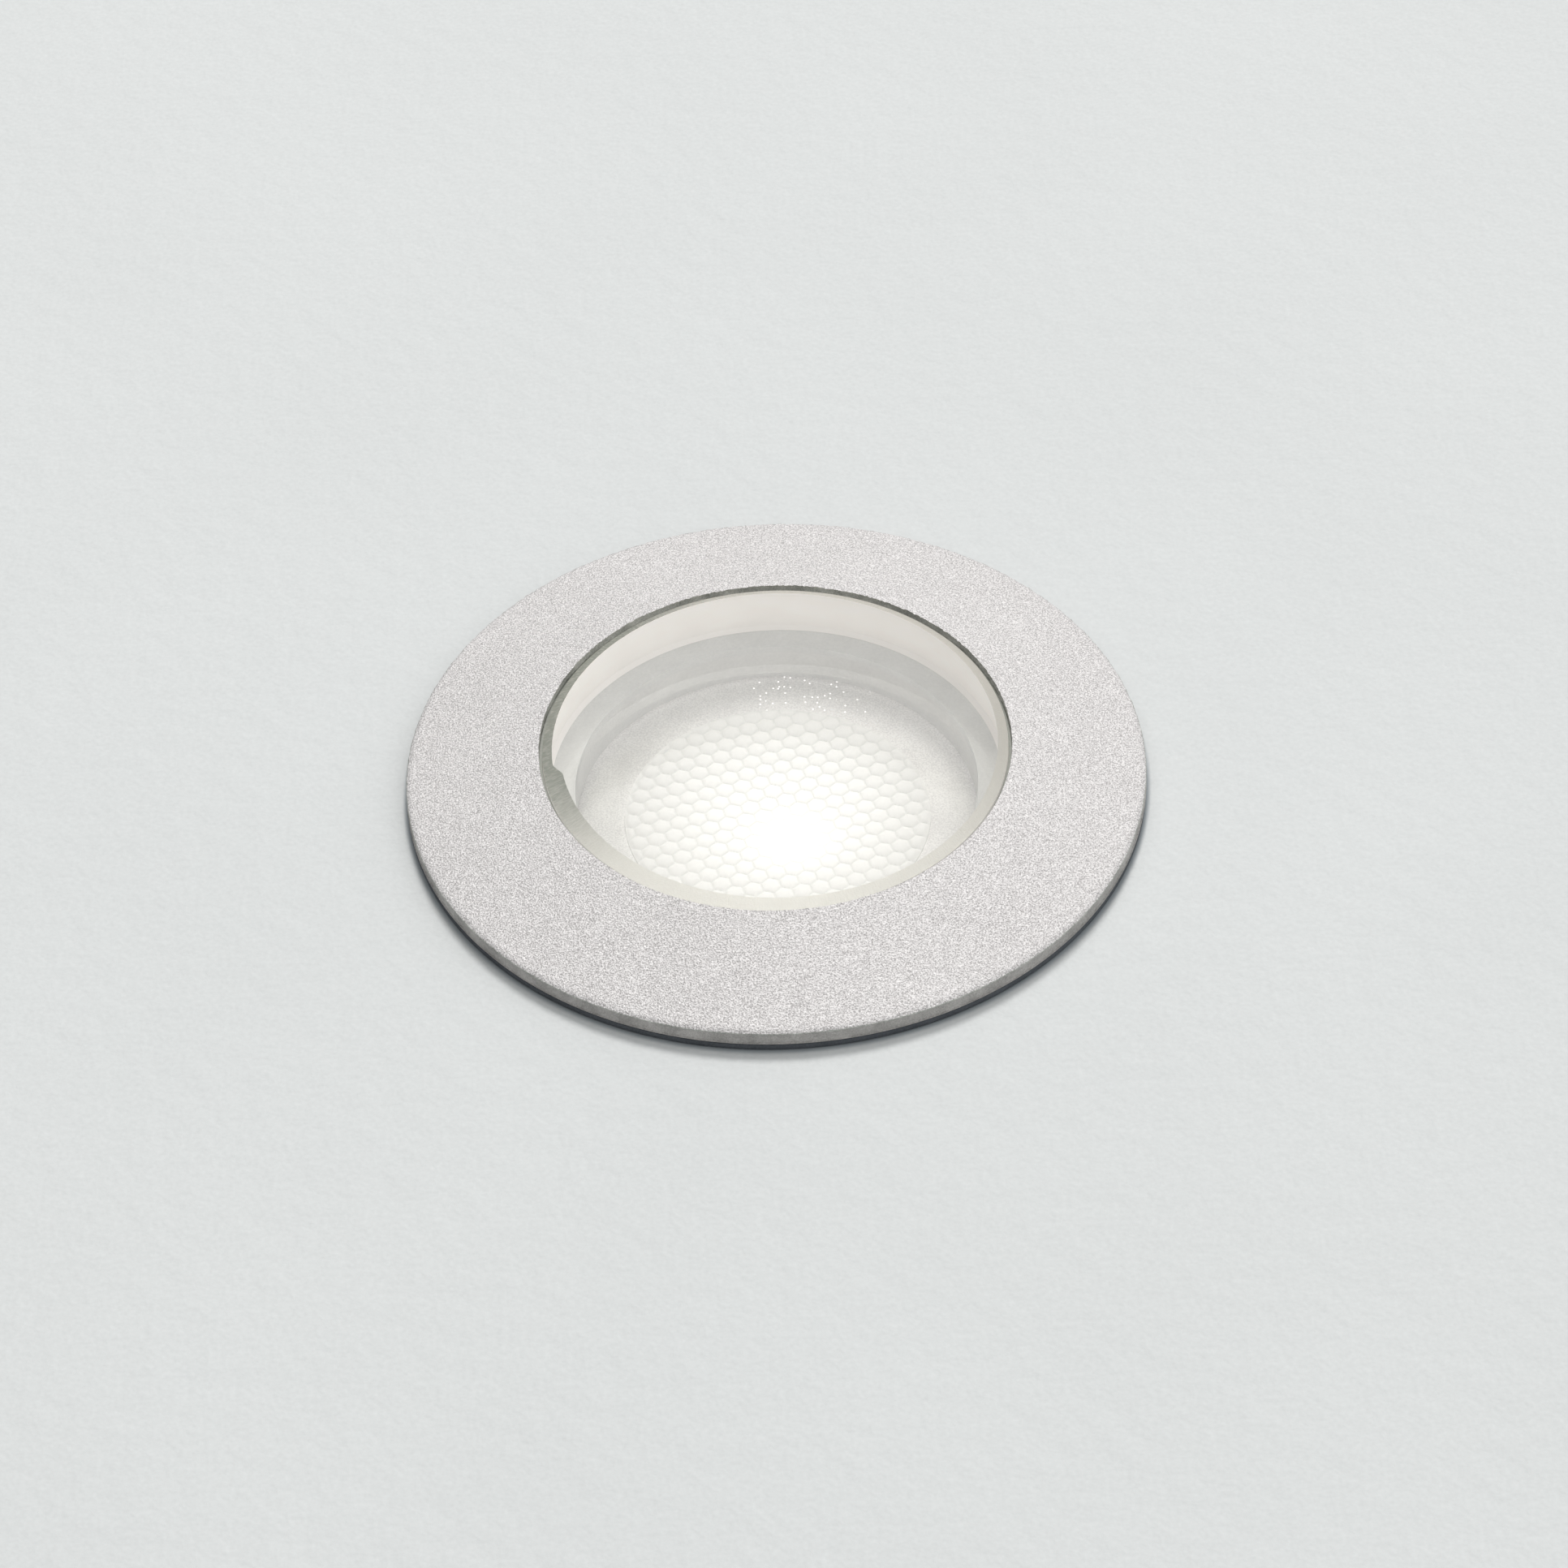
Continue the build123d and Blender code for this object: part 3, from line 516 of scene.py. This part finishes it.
def clear_glass():
    """Window glass, with faint smudges on its outer face."""
    material, tree = new_material("clear glass")
    colour = (0.995, 0.995, 0.985, 1)
    smear = speckle(tree, 7 * mm, 4)
    outside = math(tree, "GREATER_THAN", height_of(tree), top("glass") - smudge_depth)
    roughness = product(tree, fit(tree, smear, 0.45, 0.75, 0.0, 0.03), outside)
    show_glass(tree, colour, colour, roughness, bump(tree, smear, 0.002 * mm))
    return material


def ground_glass():
    """Ground edge of the glass: rough, with marks that run outwards. It is duller and greener beside the
    step in its width, and dim from within, so that its reflection stays faint."""
    material, tree = new_material("ground glass")
    colour = (0.775, 0.765, 0.70, 1)
    marks = speckle(tree, 0.22 * mm, 3, polar(tree, 26 * mm, 0.16))
    pits = speckle(tree, 0.12 * mm, 2)
    beside = distance_from(tree, reach("glass") * cos(dull_angle), reach("glass") * sin(dull_angle))
    dull = fit(tree, beside, *dull_reach, smooth=True)
    patch = product(tree, dull, vary(tree, marks, 0.8, 1.15), clamp=True)
    within = add(tree, "ShaderNodeNewGeometry").outputs["Backfacing"]
    tint = mix(tree, within, mix(tree, patch, colour, dull_colour), inner_colour)
    relief = total(tree, marks, product(tree, pits, 0.6))
    show_glass(tree, tint, colour, vary(tree, marks, 0.5, 0.75), bump(tree, relief, 0.03 * mm))
    return material


def sealant_with_shade():
    """Cream sealant, which lies open in the groove round the glass, greyer near its top as painted shade
    in the groove.
    """
    material, tree = new_material("sealant with painted shade")
    fine = speckle(tree, 0.15 * mm, 3)
    surface = top("glass_sealant")
    # The sealant's top is greyed as painted shade in the groove.
    groove_shade = fit(tree, height_of(tree), surface - 0.5 * mm, surface, smooth=True)
    uneven = product(tree, groove_shade, vary(tree, fine, 0.85, 1.1), clamp=True)
    show_principled(tree, {
        "Base Color": mix(tree, uneven, (0.80, 0.765, 0.72, 1), (0.38, 0.39, 0.355, 1)),
        "Roughness": 0.7,
        "Specular IOR Level": 0.2,
        "Normal": bump(tree, fine, 0.02 * mm),
    })
    return material


def cream_wall():
    """Cream sealant as it looks on the glass's side, which it is bonded to. It glows as painted light,
    more towards the top, standing for light that comes through the glass.
    """
    material, tree = new_material("cream sealant")
    cloud = vary(tree, speckle(tree, 3 * mm, 3), 0.0, 1.0)
    fine = speckle(tree, 0.15 * mm, 2)
    show_principled(tree, {
        "Base Color": mix(tree, cloud, (0.82, 0.792, 0.765, 1), (0.87, 0.845, 0.82, 1)),
        "Roughness": 0.6,
        "Specular IOR Level": 0.0,
        "Emission Color": (0.86, 0.83, 0.80, 1),
        "Emission Strength": fit(tree, height_of(tree), bottom("glass"), top("glass"), *wall_glow),
        "Normal": bump(tree, fine, 0.004 * mm),
    })
    return material


def lens_front():
    """Honeycomb front, lit from behind, with painted light as its glow: brightest near the middle, raised
    at the far side where the ring's shadow falls, and greyer along the cells' outlines as painted shade.
    """
    material, tree = new_material("lit honeycomb")
    hot = fit(tree, distance_from(tree, *hot_centre), *hot_reach, 1.0, 0.0, smooth=True)
    wide = fit(tree, distance_from(tree, *wide_centre), *wide_reach, 1.0, 0.0)
    outline = cell_distance(tree)
    # Painted shade along the cells' outlines, fainter towards the rim
    line = product(tree, fit(tree, outline, 0.76, 1.0, smooth=True), between(tree, wide, (0.45, 1.1)))
    wavy = speckle(tree, 0.3 * mm, 3)
    spots = total(tree, product(tree, wide, wide_glow), product(tree, hot, hot_glow))
    # Painted light as glow, raised at the far side where the ring's shadow falls
    level = total(tree, spots, between(tree, shaded(tree), lens_glow))
    uneven = product(tree, between(tree, line, (1.0, 0.86)), vary(tree, wavy, 0.98, 1.02))
    dome = math(tree, "SUBTRACT", 1.0, math(tree, "POWER", outline, 3.0))
    show_principled(tree, {
        "Base Color": mix(tree, line, (0.60, 0.593, 0.58, 1), (0.53, 0.528, 0.51, 1)),
        "Roughness": 0.45,
        "Specular IOR Level": 0.0,
        "Emission Color": (1.0, 0.99, 0.96, 1),
        "Emission Strength": product(tree, level, uneven),
        "Normal": bump(tree, wavy, 0.01 * mm, normal=bump(tree, dome, 0.035 * mm)),
    })
    return material


def sparks(tree):
    """1 on a scatter of painted glints, bright specks on the plate, and 0 elsewhere. They lie close
    together round their centre.
    """
    inputs = {"Vector": place(tree), "Scale": 1 / spark_pitch}
    cells = add(tree, "ShaderNodeTexVoronoi", inputs, voronoi_dimensions="2D")
    chance = add(tree, "ShaderNodeSeparateColor", {0: cells.outputs["Color"]}).outputs[0]
    dot = math(tree, "LESS_THAN", cells.outputs["Distance"], spark_radius_share)
    patch = fit(tree, distance_from(tree, *spark_centre), *spark_reach, 0.0, spark_share)
    chosen = math(tree, "GREATER_THAN", total(tree, chance, patch), 1.0)
    return product(tree, dot, chosen)


def holder_plastic():
    """Frosted white plate round the lens, lit through from its inner edge, shown as glow that is painted
    light: it falls off outwards, and is raised at the far side where the ring's shadow falls and at its
    foot where shade gathers by the ring's seat. Painted glints stand as bright specks.
    """
    material, tree = new_material("frosted holder")
    fine = speckle(tree, 0.13 * mm, 2)
    cloud = speckle(tree, 4 * mm, 2)
    tone = fit(tree, total(tree, product(tree, fine, 1.6), cloud), 1.0, 1.6)
    # Painted light as glow, falling off outwards and raised at the far side where the ring's shadow falls
    outward = fit(tree, distance_from(tree, *plate_centre), *plate_reach, *plate_change, smooth=True)
    glow = total(tree, between(tree, shaded(tree), plate_glow), outward)
    # Painted light at the plate's foot, lifting the shade by the ring's seat
    foot = fit(tree, distance_from(tree, 0, 0), *foot_reach, 0.0, foot_glow, smooth=True)
    glow = total(tree, math(tree, "MAXIMUM", glow, 0.0), foot)
    grainy = product(tree, glow, vary(tree, fine, 0.85, 1.15))
    show_principled(tree, {
        "Base Color": mix(tree, tone, (0.60, 0.59, 0.58, 1), (0.76, 0.75, 0.735, 1)),
        "Roughness": 0.55,
        "Specular IOR Level": 0.0,
        "Emission Color": (1.0, 0.97, 0.955, 1),
        "Emission Strength": total(tree, grainy, sparks(tree)),
        "Normal": bump(tree, fine, 0.02 * mm),
    })
    return material


def circuit_board(name, mask, copper):
    """Solder mask over fine tracks, which show as slightly raised lighter lines."""
    material, tree = new_material(name)
    bricks = {
        "Vector": place(tree),
        "Scale": 1 / (2.6 * mm),
        "Mortar Size": 0.06,
        "Color1": mask,
        "Color2": mask,
        "Mortar": copper,
    }
    tracks = add(tree, "ShaderNodeTexBrick", bricks)
    cloud = speckle(tree, 0.4 * mm, 3)
    show_principled(tree, {
        "Base Color": mix(tree, vary(tree, cloud, 0.0, 0.25), tracks.outputs["Color"], copper),
        "Roughness": vary(tree, cloud, 0.28, 0.42),
        "Normal": bump(tree, tracks.outputs["Fac"], 0.03 * mm),
    })
    return material


def lit_dome():
    """Clear cap over the yellow phosphor, lit from below."""
    material, tree = new_material("lit dome")
    inner = fit(tree, distance_from(tree, 0, 0), 0.2 * mm, 1.4 * mm, 1.0, 0.0, smooth=True)
    fine = speckle(tree, 0.2 * mm, 2)
    show_principled(tree, {
        "Base Color": mix(tree, inner, (0.85, 0.80, 0.55, 1), (0.95, 0.80, 0.30, 1)),
        "Roughness": 0.1,
        "Coat Weight": 0.6,
        "Emission Color": (1.0, 0.95, 0.80, 1),
        "Emission Strength": between(tree, inner, (0.4, 2.0)),
        "Normal": bump(tree, fine, 0.004 * mm),
    })
    return material


# Camera, light and floor

def make_camera():
    data = bpy.data.cameras.new("camera")
    data.sensor_width = sensor_width
    data.lens = focal_pixels * sensor_width / photo_side
    data.clip_start, data.clip_end = camera_clip
    back = Vector((0, -cos(camera_elevation), sin(camera_elevation)))
    right = Vector((1, 0, 0))
    up = back.cross(right)
    aim = Vector((0, 0, ring_edge)) - camera_offset[0] * right - camera_offset[1] * up
    across = cos(camera_roll) * right + sin(camera_roll) * up
    upward = cos(camera_roll) * up - sin(camera_roll) * right
    turn = Matrix((across, upward, back)).transposed().to_4x4()
    camera = bpy.data.objects.new("camera", data)
    camera.matrix_world = Matrix.Translation(aim + back * camera_distance) @ turn
    bpy.context.scene.collection.objects.link(camera)
    bpy.context.scene.camera = camera


def make_lamp():
    """Soft lamp behind the light, high up."""
    data = bpy.data.lights.new("key", "AREA")
    data.shape = "DISK"
    data.size = key_size
    data.energy = key_power
    data.color = key_tint
    level = cos(key_elevation)
    way = Vector((sin(key_azimuth) * level, cos(key_azimuth) * level, sin(key_elevation)))
    lamp = bpy.data.objects.new("key", data)
    lamp.location = way * key_distance
    lamp.rotation_mode = "QUATERNION"
    lamp.rotation_quaternion = way.to_track_quat("Z", "Y")
    bpy.context.scene.collection.objects.link(lamp)


def make_world():
    """Soft light from above and a little from the right, with the floor's colour as the backdrop."""
    world = bpy.data.worlds.new("world")
    world.use_nodes = True
    tree = world.node_tree
    tree.nodes.clear()
    path = add(tree, "ShaderNodeLightPath").outputs
    mirrored = math(tree, "MAXIMUM", path["Is Glossy Ray"], path["Is Transmission Ray"])
    seen = math(tree, "MAXIMUM", path["Is Camera Ray"], mirrored)
    backdrop = add(tree, "ShaderNodeBackground", {"Color": floor_colour, "Strength": 1.0}).outputs[0]
    direction = add(tree, "ShaderNodeTexCoord").outputs["Generated"]
    way = add(tree, "ShaderNodeSeparateXYZ", {0: direction}).outputs
    above = fit(tree, way["Z"], 0.0, 1.0, world_low, world_high)
    strength = total(tree, above, product(tree, way["X"], world_side))
    light = add(tree, "ShaderNodeBackground", {"Color": world_tint, "Strength": strength}).outputs[0]
    both = add(tree, "ShaderNodeMixShader", {0: seen, 1: light, 2: backdrop}).outputs[0]
    add(tree, "ShaderNodeOutputWorld", {"Surface": both})
    bpy.context.scene.world = world


def plaster():
    """Pale plaster with a painted contact shadow, a dark band beside the ring. From below it doesn't show.
    """
    material, tree = new_material("pale plaster")
    wide = speckle(tree, 30 * mm, 2)
    lumps = speckle(tree, 2.2 * mm, 3)
    fine = speckle(tree, 0.4 * mm, 2)
    height = total(tree, lumps, product(tree, fine, 0.12))
    darker = (*(floor_shade * part for part in floor_colour[:3]), 1)
    tone = total(tree, product(tree, wide, 0.3), product(tree, fine, 0.7))
    unshaded_plaster = mix(tree, vary(tree, tone, 0.0, 1.0), darker, floor_colour)
    # Painted contact shadow beside the ring, fading out over its width
    edge = reach("front_ring")
    beside = fit(tree, distance_from(tree, 0, 0), edge, edge + painted_contact_shadow_width, smooth=True)
    inputs = {
        "Base Color": mix(tree, beside, painted_contact_shadow, unshaded_plaster),
        "Roughness": 0.75,
        "Specular IOR Level": 0.2,
        "Normal": bump(tree, height, floor_relief),
    }
    front = add(tree, "ShaderNodeBsdfPrincipled", inputs).outputs[0]
    clear = add(tree, "ShaderNodeBsdfTransparent").outputs[0]
    behind = add(tree, "ShaderNodeNewGeometry").outputs["Backfacing"]
    show(tree, add(tree, "ShaderNodeMixShader", {0: behind, 1: front, 2: clear}).outputs[0])
    return material


def make_floor():
    """Ground with a hole for the sleeve."""
    hole = reach("ground_sleeve") + floor_hole_gap
    outline = [(radius, 0.0) for radius in (floor_reach, *floor_rings, hole)]
    radii, heights = grid(outline, floor_segments)
    floor = turned("floor", radii, heights, [0] * (len(outline) - 1), crisp, plaster())


# Pieces

def make_ring(coat, bare, groove, edge):
    """Front ring with the grain of its coat on the face and along both edges, and smooth inside."""
    on_face, on_seat, on_rims, on_side = range(4)
    radius, face_top, under = reach("front_ring"), top("front_ring"), top("ring_gasket")
    seat, neck_end = bottom("seat_gasket"), bottom("front_ring")
    fall = (face_top - ring_edge) / (radius - ring_bore_radius)
    flat_edge = radius - ring_edge_round
    low, high = under + ring_edge_round, ring_edge - ring_edge_round
    neck = [
        (ring_skirt_bore_radius, neck_end),
        (ring_neck_radius - ring_skirt_bevel, neck_end),
        (ring_neck_radius, neck_end + ring_skirt_bevel),
        (ring_neck_radius, under),
    ]
    low_round = arc(flat_edge, low, ring_edge_round, -90, 0)
    wall = [(radius, height) for height in span(low, high, ring_step)]
    high_round = arc(flat_edge, high, ring_edge_round, 0, 75)
    across = span(flat_edge, ring_bore_radius, ring_step)
    cone = [(away, face_top - (away - ring_bore_radius) * fall) for away in across]
    down = span(face_top, face_top - ring_bore_depth, ring_step)
    bore = [(ring_bore_radius, height) for height in down]
    step = [(ring_bore_radius, seat), (ring_seat_radius, seat), (ring_seat_radius, ring_seat_under)]
    step_end = [(ring_skirt_bore_radius, ring_seat_under)]
    sections = [
        (neck, on_face),
        (low_round[:-1] + wall, on_side),
        (high_round[:-1], on_rims),
        (high_round[-1:] + cone[1:], on_face),
        (bore, on_rims),
        (step, on_seat),
        (step_end, on_face),
    ]
    outline, strips = [], []
    for section, material_index in sections:
        outline.extend(section)
        strips.extend([material_index] * len(section))
    radii, heights = grid(outline, ring_segments)
    angles = around(ring_segments)
    rows = slice(len(neck) + len(low_round) - 1, len(outline) - len(step) - len(step_end))
    points = np.stack((radii[rows] * np.cos(angles), radii[rows] * np.sin(angles), heights[rows]), axis=-1)
    flat = points.reshape(-1, 3)
    relief = grain(flat, ring_relief_size, ring_relief_seed) * ring_relief
    rag = grain(flat, ring_rim_relief_size, ring_rim_relief_seed) * ring_rim_relief
    relief, rag = relief.reshape(points.shape[:2]), rag.reshape(points.shape[:2])
    inside = np.exp(-((radii[rows] - ring_bore_radius) / ring_rim_width) ** 2)
    outside = np.exp(-((radii[rows] - radius) / ring_rim_width) ** 2) * ring_outer_share
    depth = relief + rag * (inside + outside) - ring_rim_relief * outside - ring_relief
    below_face = heights[rows] < face_top - closeness
    on_bore = (np.abs(radii[rows] - ring_bore_radius) < closeness) & below_face
    on_wall = np.abs(radii[rows] - radius) < closeness
    slope = atan2(face_top - ring_edge, radius - ring_bore_radius)
    lean = np.where(on_bore, -1.0, np.where(on_wall, 1.0, sin(slope)))
    climb = np.where(on_bore | on_wall, 0.0, cos(slope))
    radii[rows] = np.minimum(radii[rows] + depth * lean, radius)
    heights[rows] += depth * climb
    ring = turned("front_ring_dressed", radii, heights, strips, soft, coat, bare, groove, edge)
    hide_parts("front_ring")
    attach(ring, "front")


def make_gasket(rubber):
    """Flat gasket under the ring, with its outer edge squeezed out a little."""
    node = "ring_gasket"
    high, low = top(node), bottom(node)
    middle, half = (high + low) / 2, (high - low) / 2
    swell = []
    for angle in range(0, 181, gasket_arc_step):
        lean = cos(radians(angle))
        swell.append((reach(node) + gasket_swell * (1 - lean ** gasket_squareness), middle - half * lean))
    outline = [(gasket_bore_radius, low), *swell, (gasket_bore_radius, high)]
    radii, heights = grid(outline, gasket_segments)
    gasket = turned("ring_gasket_dressed", radii, heights, [0] * len(outline), soft, rubber)
    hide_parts(node)
    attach(gasket, "ring_seal")


def make_glass(clear, ground, wall):
    """Glass with a ground upper edge. Its width grows round the glass and falls back at a step."""
    on_face, on_ground, on_side = range(3)
    radius, high = reach("glass"), top("glass")
    low = bottom("glass") + glass_bottom_gap
    angles = around(glass_segments)
    # share is how far round from the step, clockwise, so the widest place comes last
    share = ((grind_step_angle + 2 * pi - angles) % (2 * pi)) / (2 * pi)
    step_share = grind_step_turn / (2 * pi)
    share = (share - step_share) % 1.0
    width = grind_width + grind_growth * share
    width += grind_swell * smooth_step(share, grind_swell_start, grind_swell_end)
    width -= (grind_growth + grind_swell) * smooth_step(share, 1 - step_share, 1)
    edge = np.stack((radius * np.cos(angles), radius * np.sin(angles), 0 * angles), axis=1)
    width += grain(edge, grind_rag_size, grind_rag_seed) * grind_rag
    depth = grind_depth + grind_depth_share * (width - grind_width)
    outline = [
        (0.0, low),
        (radius - glass_bottom_bevel, low),
        (radius, low + glass_bottom_bevel),
        (radius, high),
        (radius, high),
        (radius, high),
        (0.0, high),
    ]
    radii, heights = grid(outline, glass_segments)
    # The outline's three upper corners become the ground edge
    grind_start, grind_middle, grind_end = 3, 4, 5
    heights[grind_start] = high - depth
    radii[grind_middle] = radius - width / 2
    heights[grind_middle] = high - depth / 2
    radii[grind_end] = radius - width
    strips = [on_face, on_side, on_side, on_ground, on_ground, on_face]
    glass = turned("glass_dressed", radii, heights, strips, crisp, clear, ground, wall)
    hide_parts("glass")
    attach(glass, "front")


def honeycomb(x, y):
    """How far a place lies from the middle of its cell: 0 there and 1 on the outline."""
    x, y = x - cell_offset[0], y - cell_offset[1]
    x, y = x * cos(cell_turn) + y * sin(cell_turn), y * cos(cell_turn) - x * sin(cell_turn)
    row_pitch = cell_pitch * sin(slant)
    nearest = np.full(x.shape, np.inf)
    row = np.round(y / row_pitch)
    for shift in (-1, 0, 1):
        here = row + shift
        offset = (here % 2) / 2
        column = np.round(x / cell_pitch - offset)
        across = x - (column + offset) * cell_pitch
        along = y - here * row_pitch
        one_way = np.abs(across * cos(slant) + along * sin(slant))
        other_way = np.abs(across * cos(slant) - along * sin(slant))
        away = np.maximum(np.abs(across), np.maximum(one_way, other_way))
        nearest = np.minimum(nearest, away / (cell_pitch / 2))
    return np.clip(nearest, 0, 1)


def make_lens(front, body):
    """Lens with domed hexagonal cells up to its rim."""
    on_front, on_body = range(2)
    radius, high, low = holder_bore_radius - lens_rim_gap, top("lens"), bottom("lens")
    face = high - cell_height
    rim_under = face - lens_rim_thickness
    flank = radius - lens_shoulder_width
    bulge = lens_base_radius + (flank - lens_base_radius) * lens_bulge_share
    underside = [
        (0.0, low),
        (lens_base_radius, low),
        (bulge, (rim_under + low) / 2),
        (flank, rim_under),
        (radius, rim_under),
    ]
    first = len(underside)
    cells = [(r, face) for r in span(radius, 0.0, lens_face_step)]
    outline = [*underside, *cells, (0.0, face)]
    radii, heights = grid(outline, lens_segments)
    angles = around(lens_segments)
    cell = honeycomb(radii[first:] * np.cos(angles), radii[first:] * np.sin(angles))
    dome = 1 - cell ** cell_sharpness
    fade = smooth_step(radii[first:], radius, radius - cell_fade)
    heights[first:] += cell_height * dome * fade
    strips = [on_body] * (first - 1) + [on_front] * (len(outline) - first)
    lens = turned("lens_dressed", radii, heights, strips, soft, front, body)
    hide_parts("lens")
    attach(lens, "unit")


bpy.context.scene.view_settings.view_transform = "Standard"
make_camera()
make_lamp()
make_world()
make_floor()

materials = {
    "window_glass": clear_glass(),
    "cream_sealant": sealant_with_shade(),
    "textured_silver_paint": silver_paint(),
    "white_plastic": holder_plastic(),
    "clear_silicone": lit_dome(),
    # Grey silicone glows as painted light, more at the far side where the ring's shadow falls.
    "grey_silicone": plain(
        "grey silicone", (0.53, 0.53, 0.525, 1), (0.59, 0.59, 0.585, 1),
        size=0.2 * mm, roughness=0.7, relief=0.01 * mm, specular=0.0, glow=silicone_glow),
    "dark_rubber": plain(
        "worn rubber", (0.075, 0.083, 0.093, 1), (0.12, 0.13, 0.145, 1),
        size=0.15 * mm, roughness=0.75, relief=0.02 * mm, specular=0.2),
    "black_rubber": plain(
        "black rubber", (0.012, 0.012, 0.013, 1), (0.03, 0.03, 0.032, 1),
        size=0.2 * mm, roughness=0.45, relief=0.006 * mm),
    "clear_acrylic": plain(
        "clear acrylic", (0.74, 0.75, 0.74, 1), (0.82, 0.83, 0.82, 1),
        size=0.5 * mm, roughness=0.12, relief=0.002 * mm, coat=0.5),
    "white_ceramic": plain(
        "white ceramic", (0.80, 0.78, 0.73, 1), (0.88, 0.86, 0.82, 1),
        size=0.08 * mm, roughness=0.5, relief=0.004 * mm),
    "ferrite": plain(
        "ferrite", (0.02, 0.02, 0.022, 1), (0.055, 0.055, 0.06, 1),
        size=0.1 * mm, roughness=0.75, relief=0.02 * mm),
    "capacitor_sleeve": plain(
        "capacitor sleeve", (0.012, 0.012, 0.04, 1), (0.02, 0.02, 0.06, 1),
        size=0.6 * mm, roughness=0.25, relief=0.01 * mm, coat=0.4),
    "chip_epoxy": plain(
        "chip epoxy", (0.014, 0.014, 0.016, 1), (0.035, 0.035, 0.038, 1),
        size=0.06 * mm, roughness=0.6, relief=0.008 * mm),
    "terminal_plastic": plain(
        "terminal plastic", (0.015, 0.13, 0.045, 1), (0.03, 0.19, 0.07, 1),
        size=0.25 * mm, roughness=0.4, relief=0.006 * mm),
    "gland_plastic": plain(
        "gland plastic", (0.014, 0.014, 0.016, 1), (0.032, 0.032, 0.035, 1),
        size=0.2 * mm, roughness=0.42, relief=0.012 * mm),
    "slip_washer": plain(
        "slip washer", (0.60, 0.60, 0.57, 1), (0.70, 0.70, 0.67, 1),
        size=0.3 * mm, roughness=0.4, relief=0.004 * mm),
    "sleeve_plastic": plain(
        "sleeve plastic", (0.016, 0.016, 0.018, 1), (0.04, 0.04, 0.043, 1),
        size=0.3 * mm, roughness=0.5, relief=0.02 * mm),
    "anodised_aluminium": turned_metal(
        "turned aluminium", (0.52, 0.53, 0.54, 1), (0.68, 0.69, 0.70, 1),
        roughness=0.34, pitch=0.12 * mm, relief=0.012 * mm),
    "stainless_steel": turned_metal(
        "stainless steel", (0.44, 0.44, 0.43, 1), (0.62, 0.61, 0.60, 1),
        roughness=0.3, pitch=0.06 * mm, relief=0.006 * mm),
    "plated_brass": turned_metal(
        "plated brass", (0.52, 0.44, 0.26, 1), (0.72, 0.66, 0.52, 1),
        roughness=0.32, pitch=0.08 * mm, relief=0.008 * mm),
    "white_board": circuit_board("white board", (0.80, 0.80, 0.77, 1), (0.72, 0.70, 0.62, 1)),
    "green_board": circuit_board("green board", (0.012, 0.11, 0.04, 1), (0.05, 0.24, 0.09, 1)),
}
for row in frame["record"]["subparts"]:
    for slot in frame["nodes"][row["node"]].material_slots:
        slot.material = materials[row["material_slot"]]

make_ring(
    coat=materials["textured_silver_paint"],
    # The inside is smooth silver that glows as painted light, more at the far side where the ring's shadow
    # falls.
    bare=plain(
        "smooth silver", (0.60, 0.598, 0.593, 1), (0.67, 0.667, 0.66, 1),
        size=0.25 * mm, roughness=0.75, relief=0.006 * mm, specular=0.0, glow=seat_glow),
    # The rims take a darker coat as painted shade: in the groove round the glass and along the ring's
    # rounded top edge.
    groove=plain(
        "rims with painted shade", (0.28, 0.287, 0.265, 1), (0.62, 0.627, 0.59, 1),
        size=0.12 * mm, roughness=0.7, relief=0.03 * mm, specular=0.2),
    # The ring's outer side takes a darker copy of the coat as painted shade.
    edge=plain(
        "side coat with painted shade", (0.34, 0.327, 0.315, 1), (0.62, 0.60, 0.58, 1),
        size=0.12 * mm, roughness=0.6, relief=0.04 * mm, metallic=0.2),
)
make_gasket(materials["dark_rubber"])
make_glass(materials["window_glass"], ground_glass(), cream_wall())
make_lens(lens_front(), materials["clear_acrylic"])
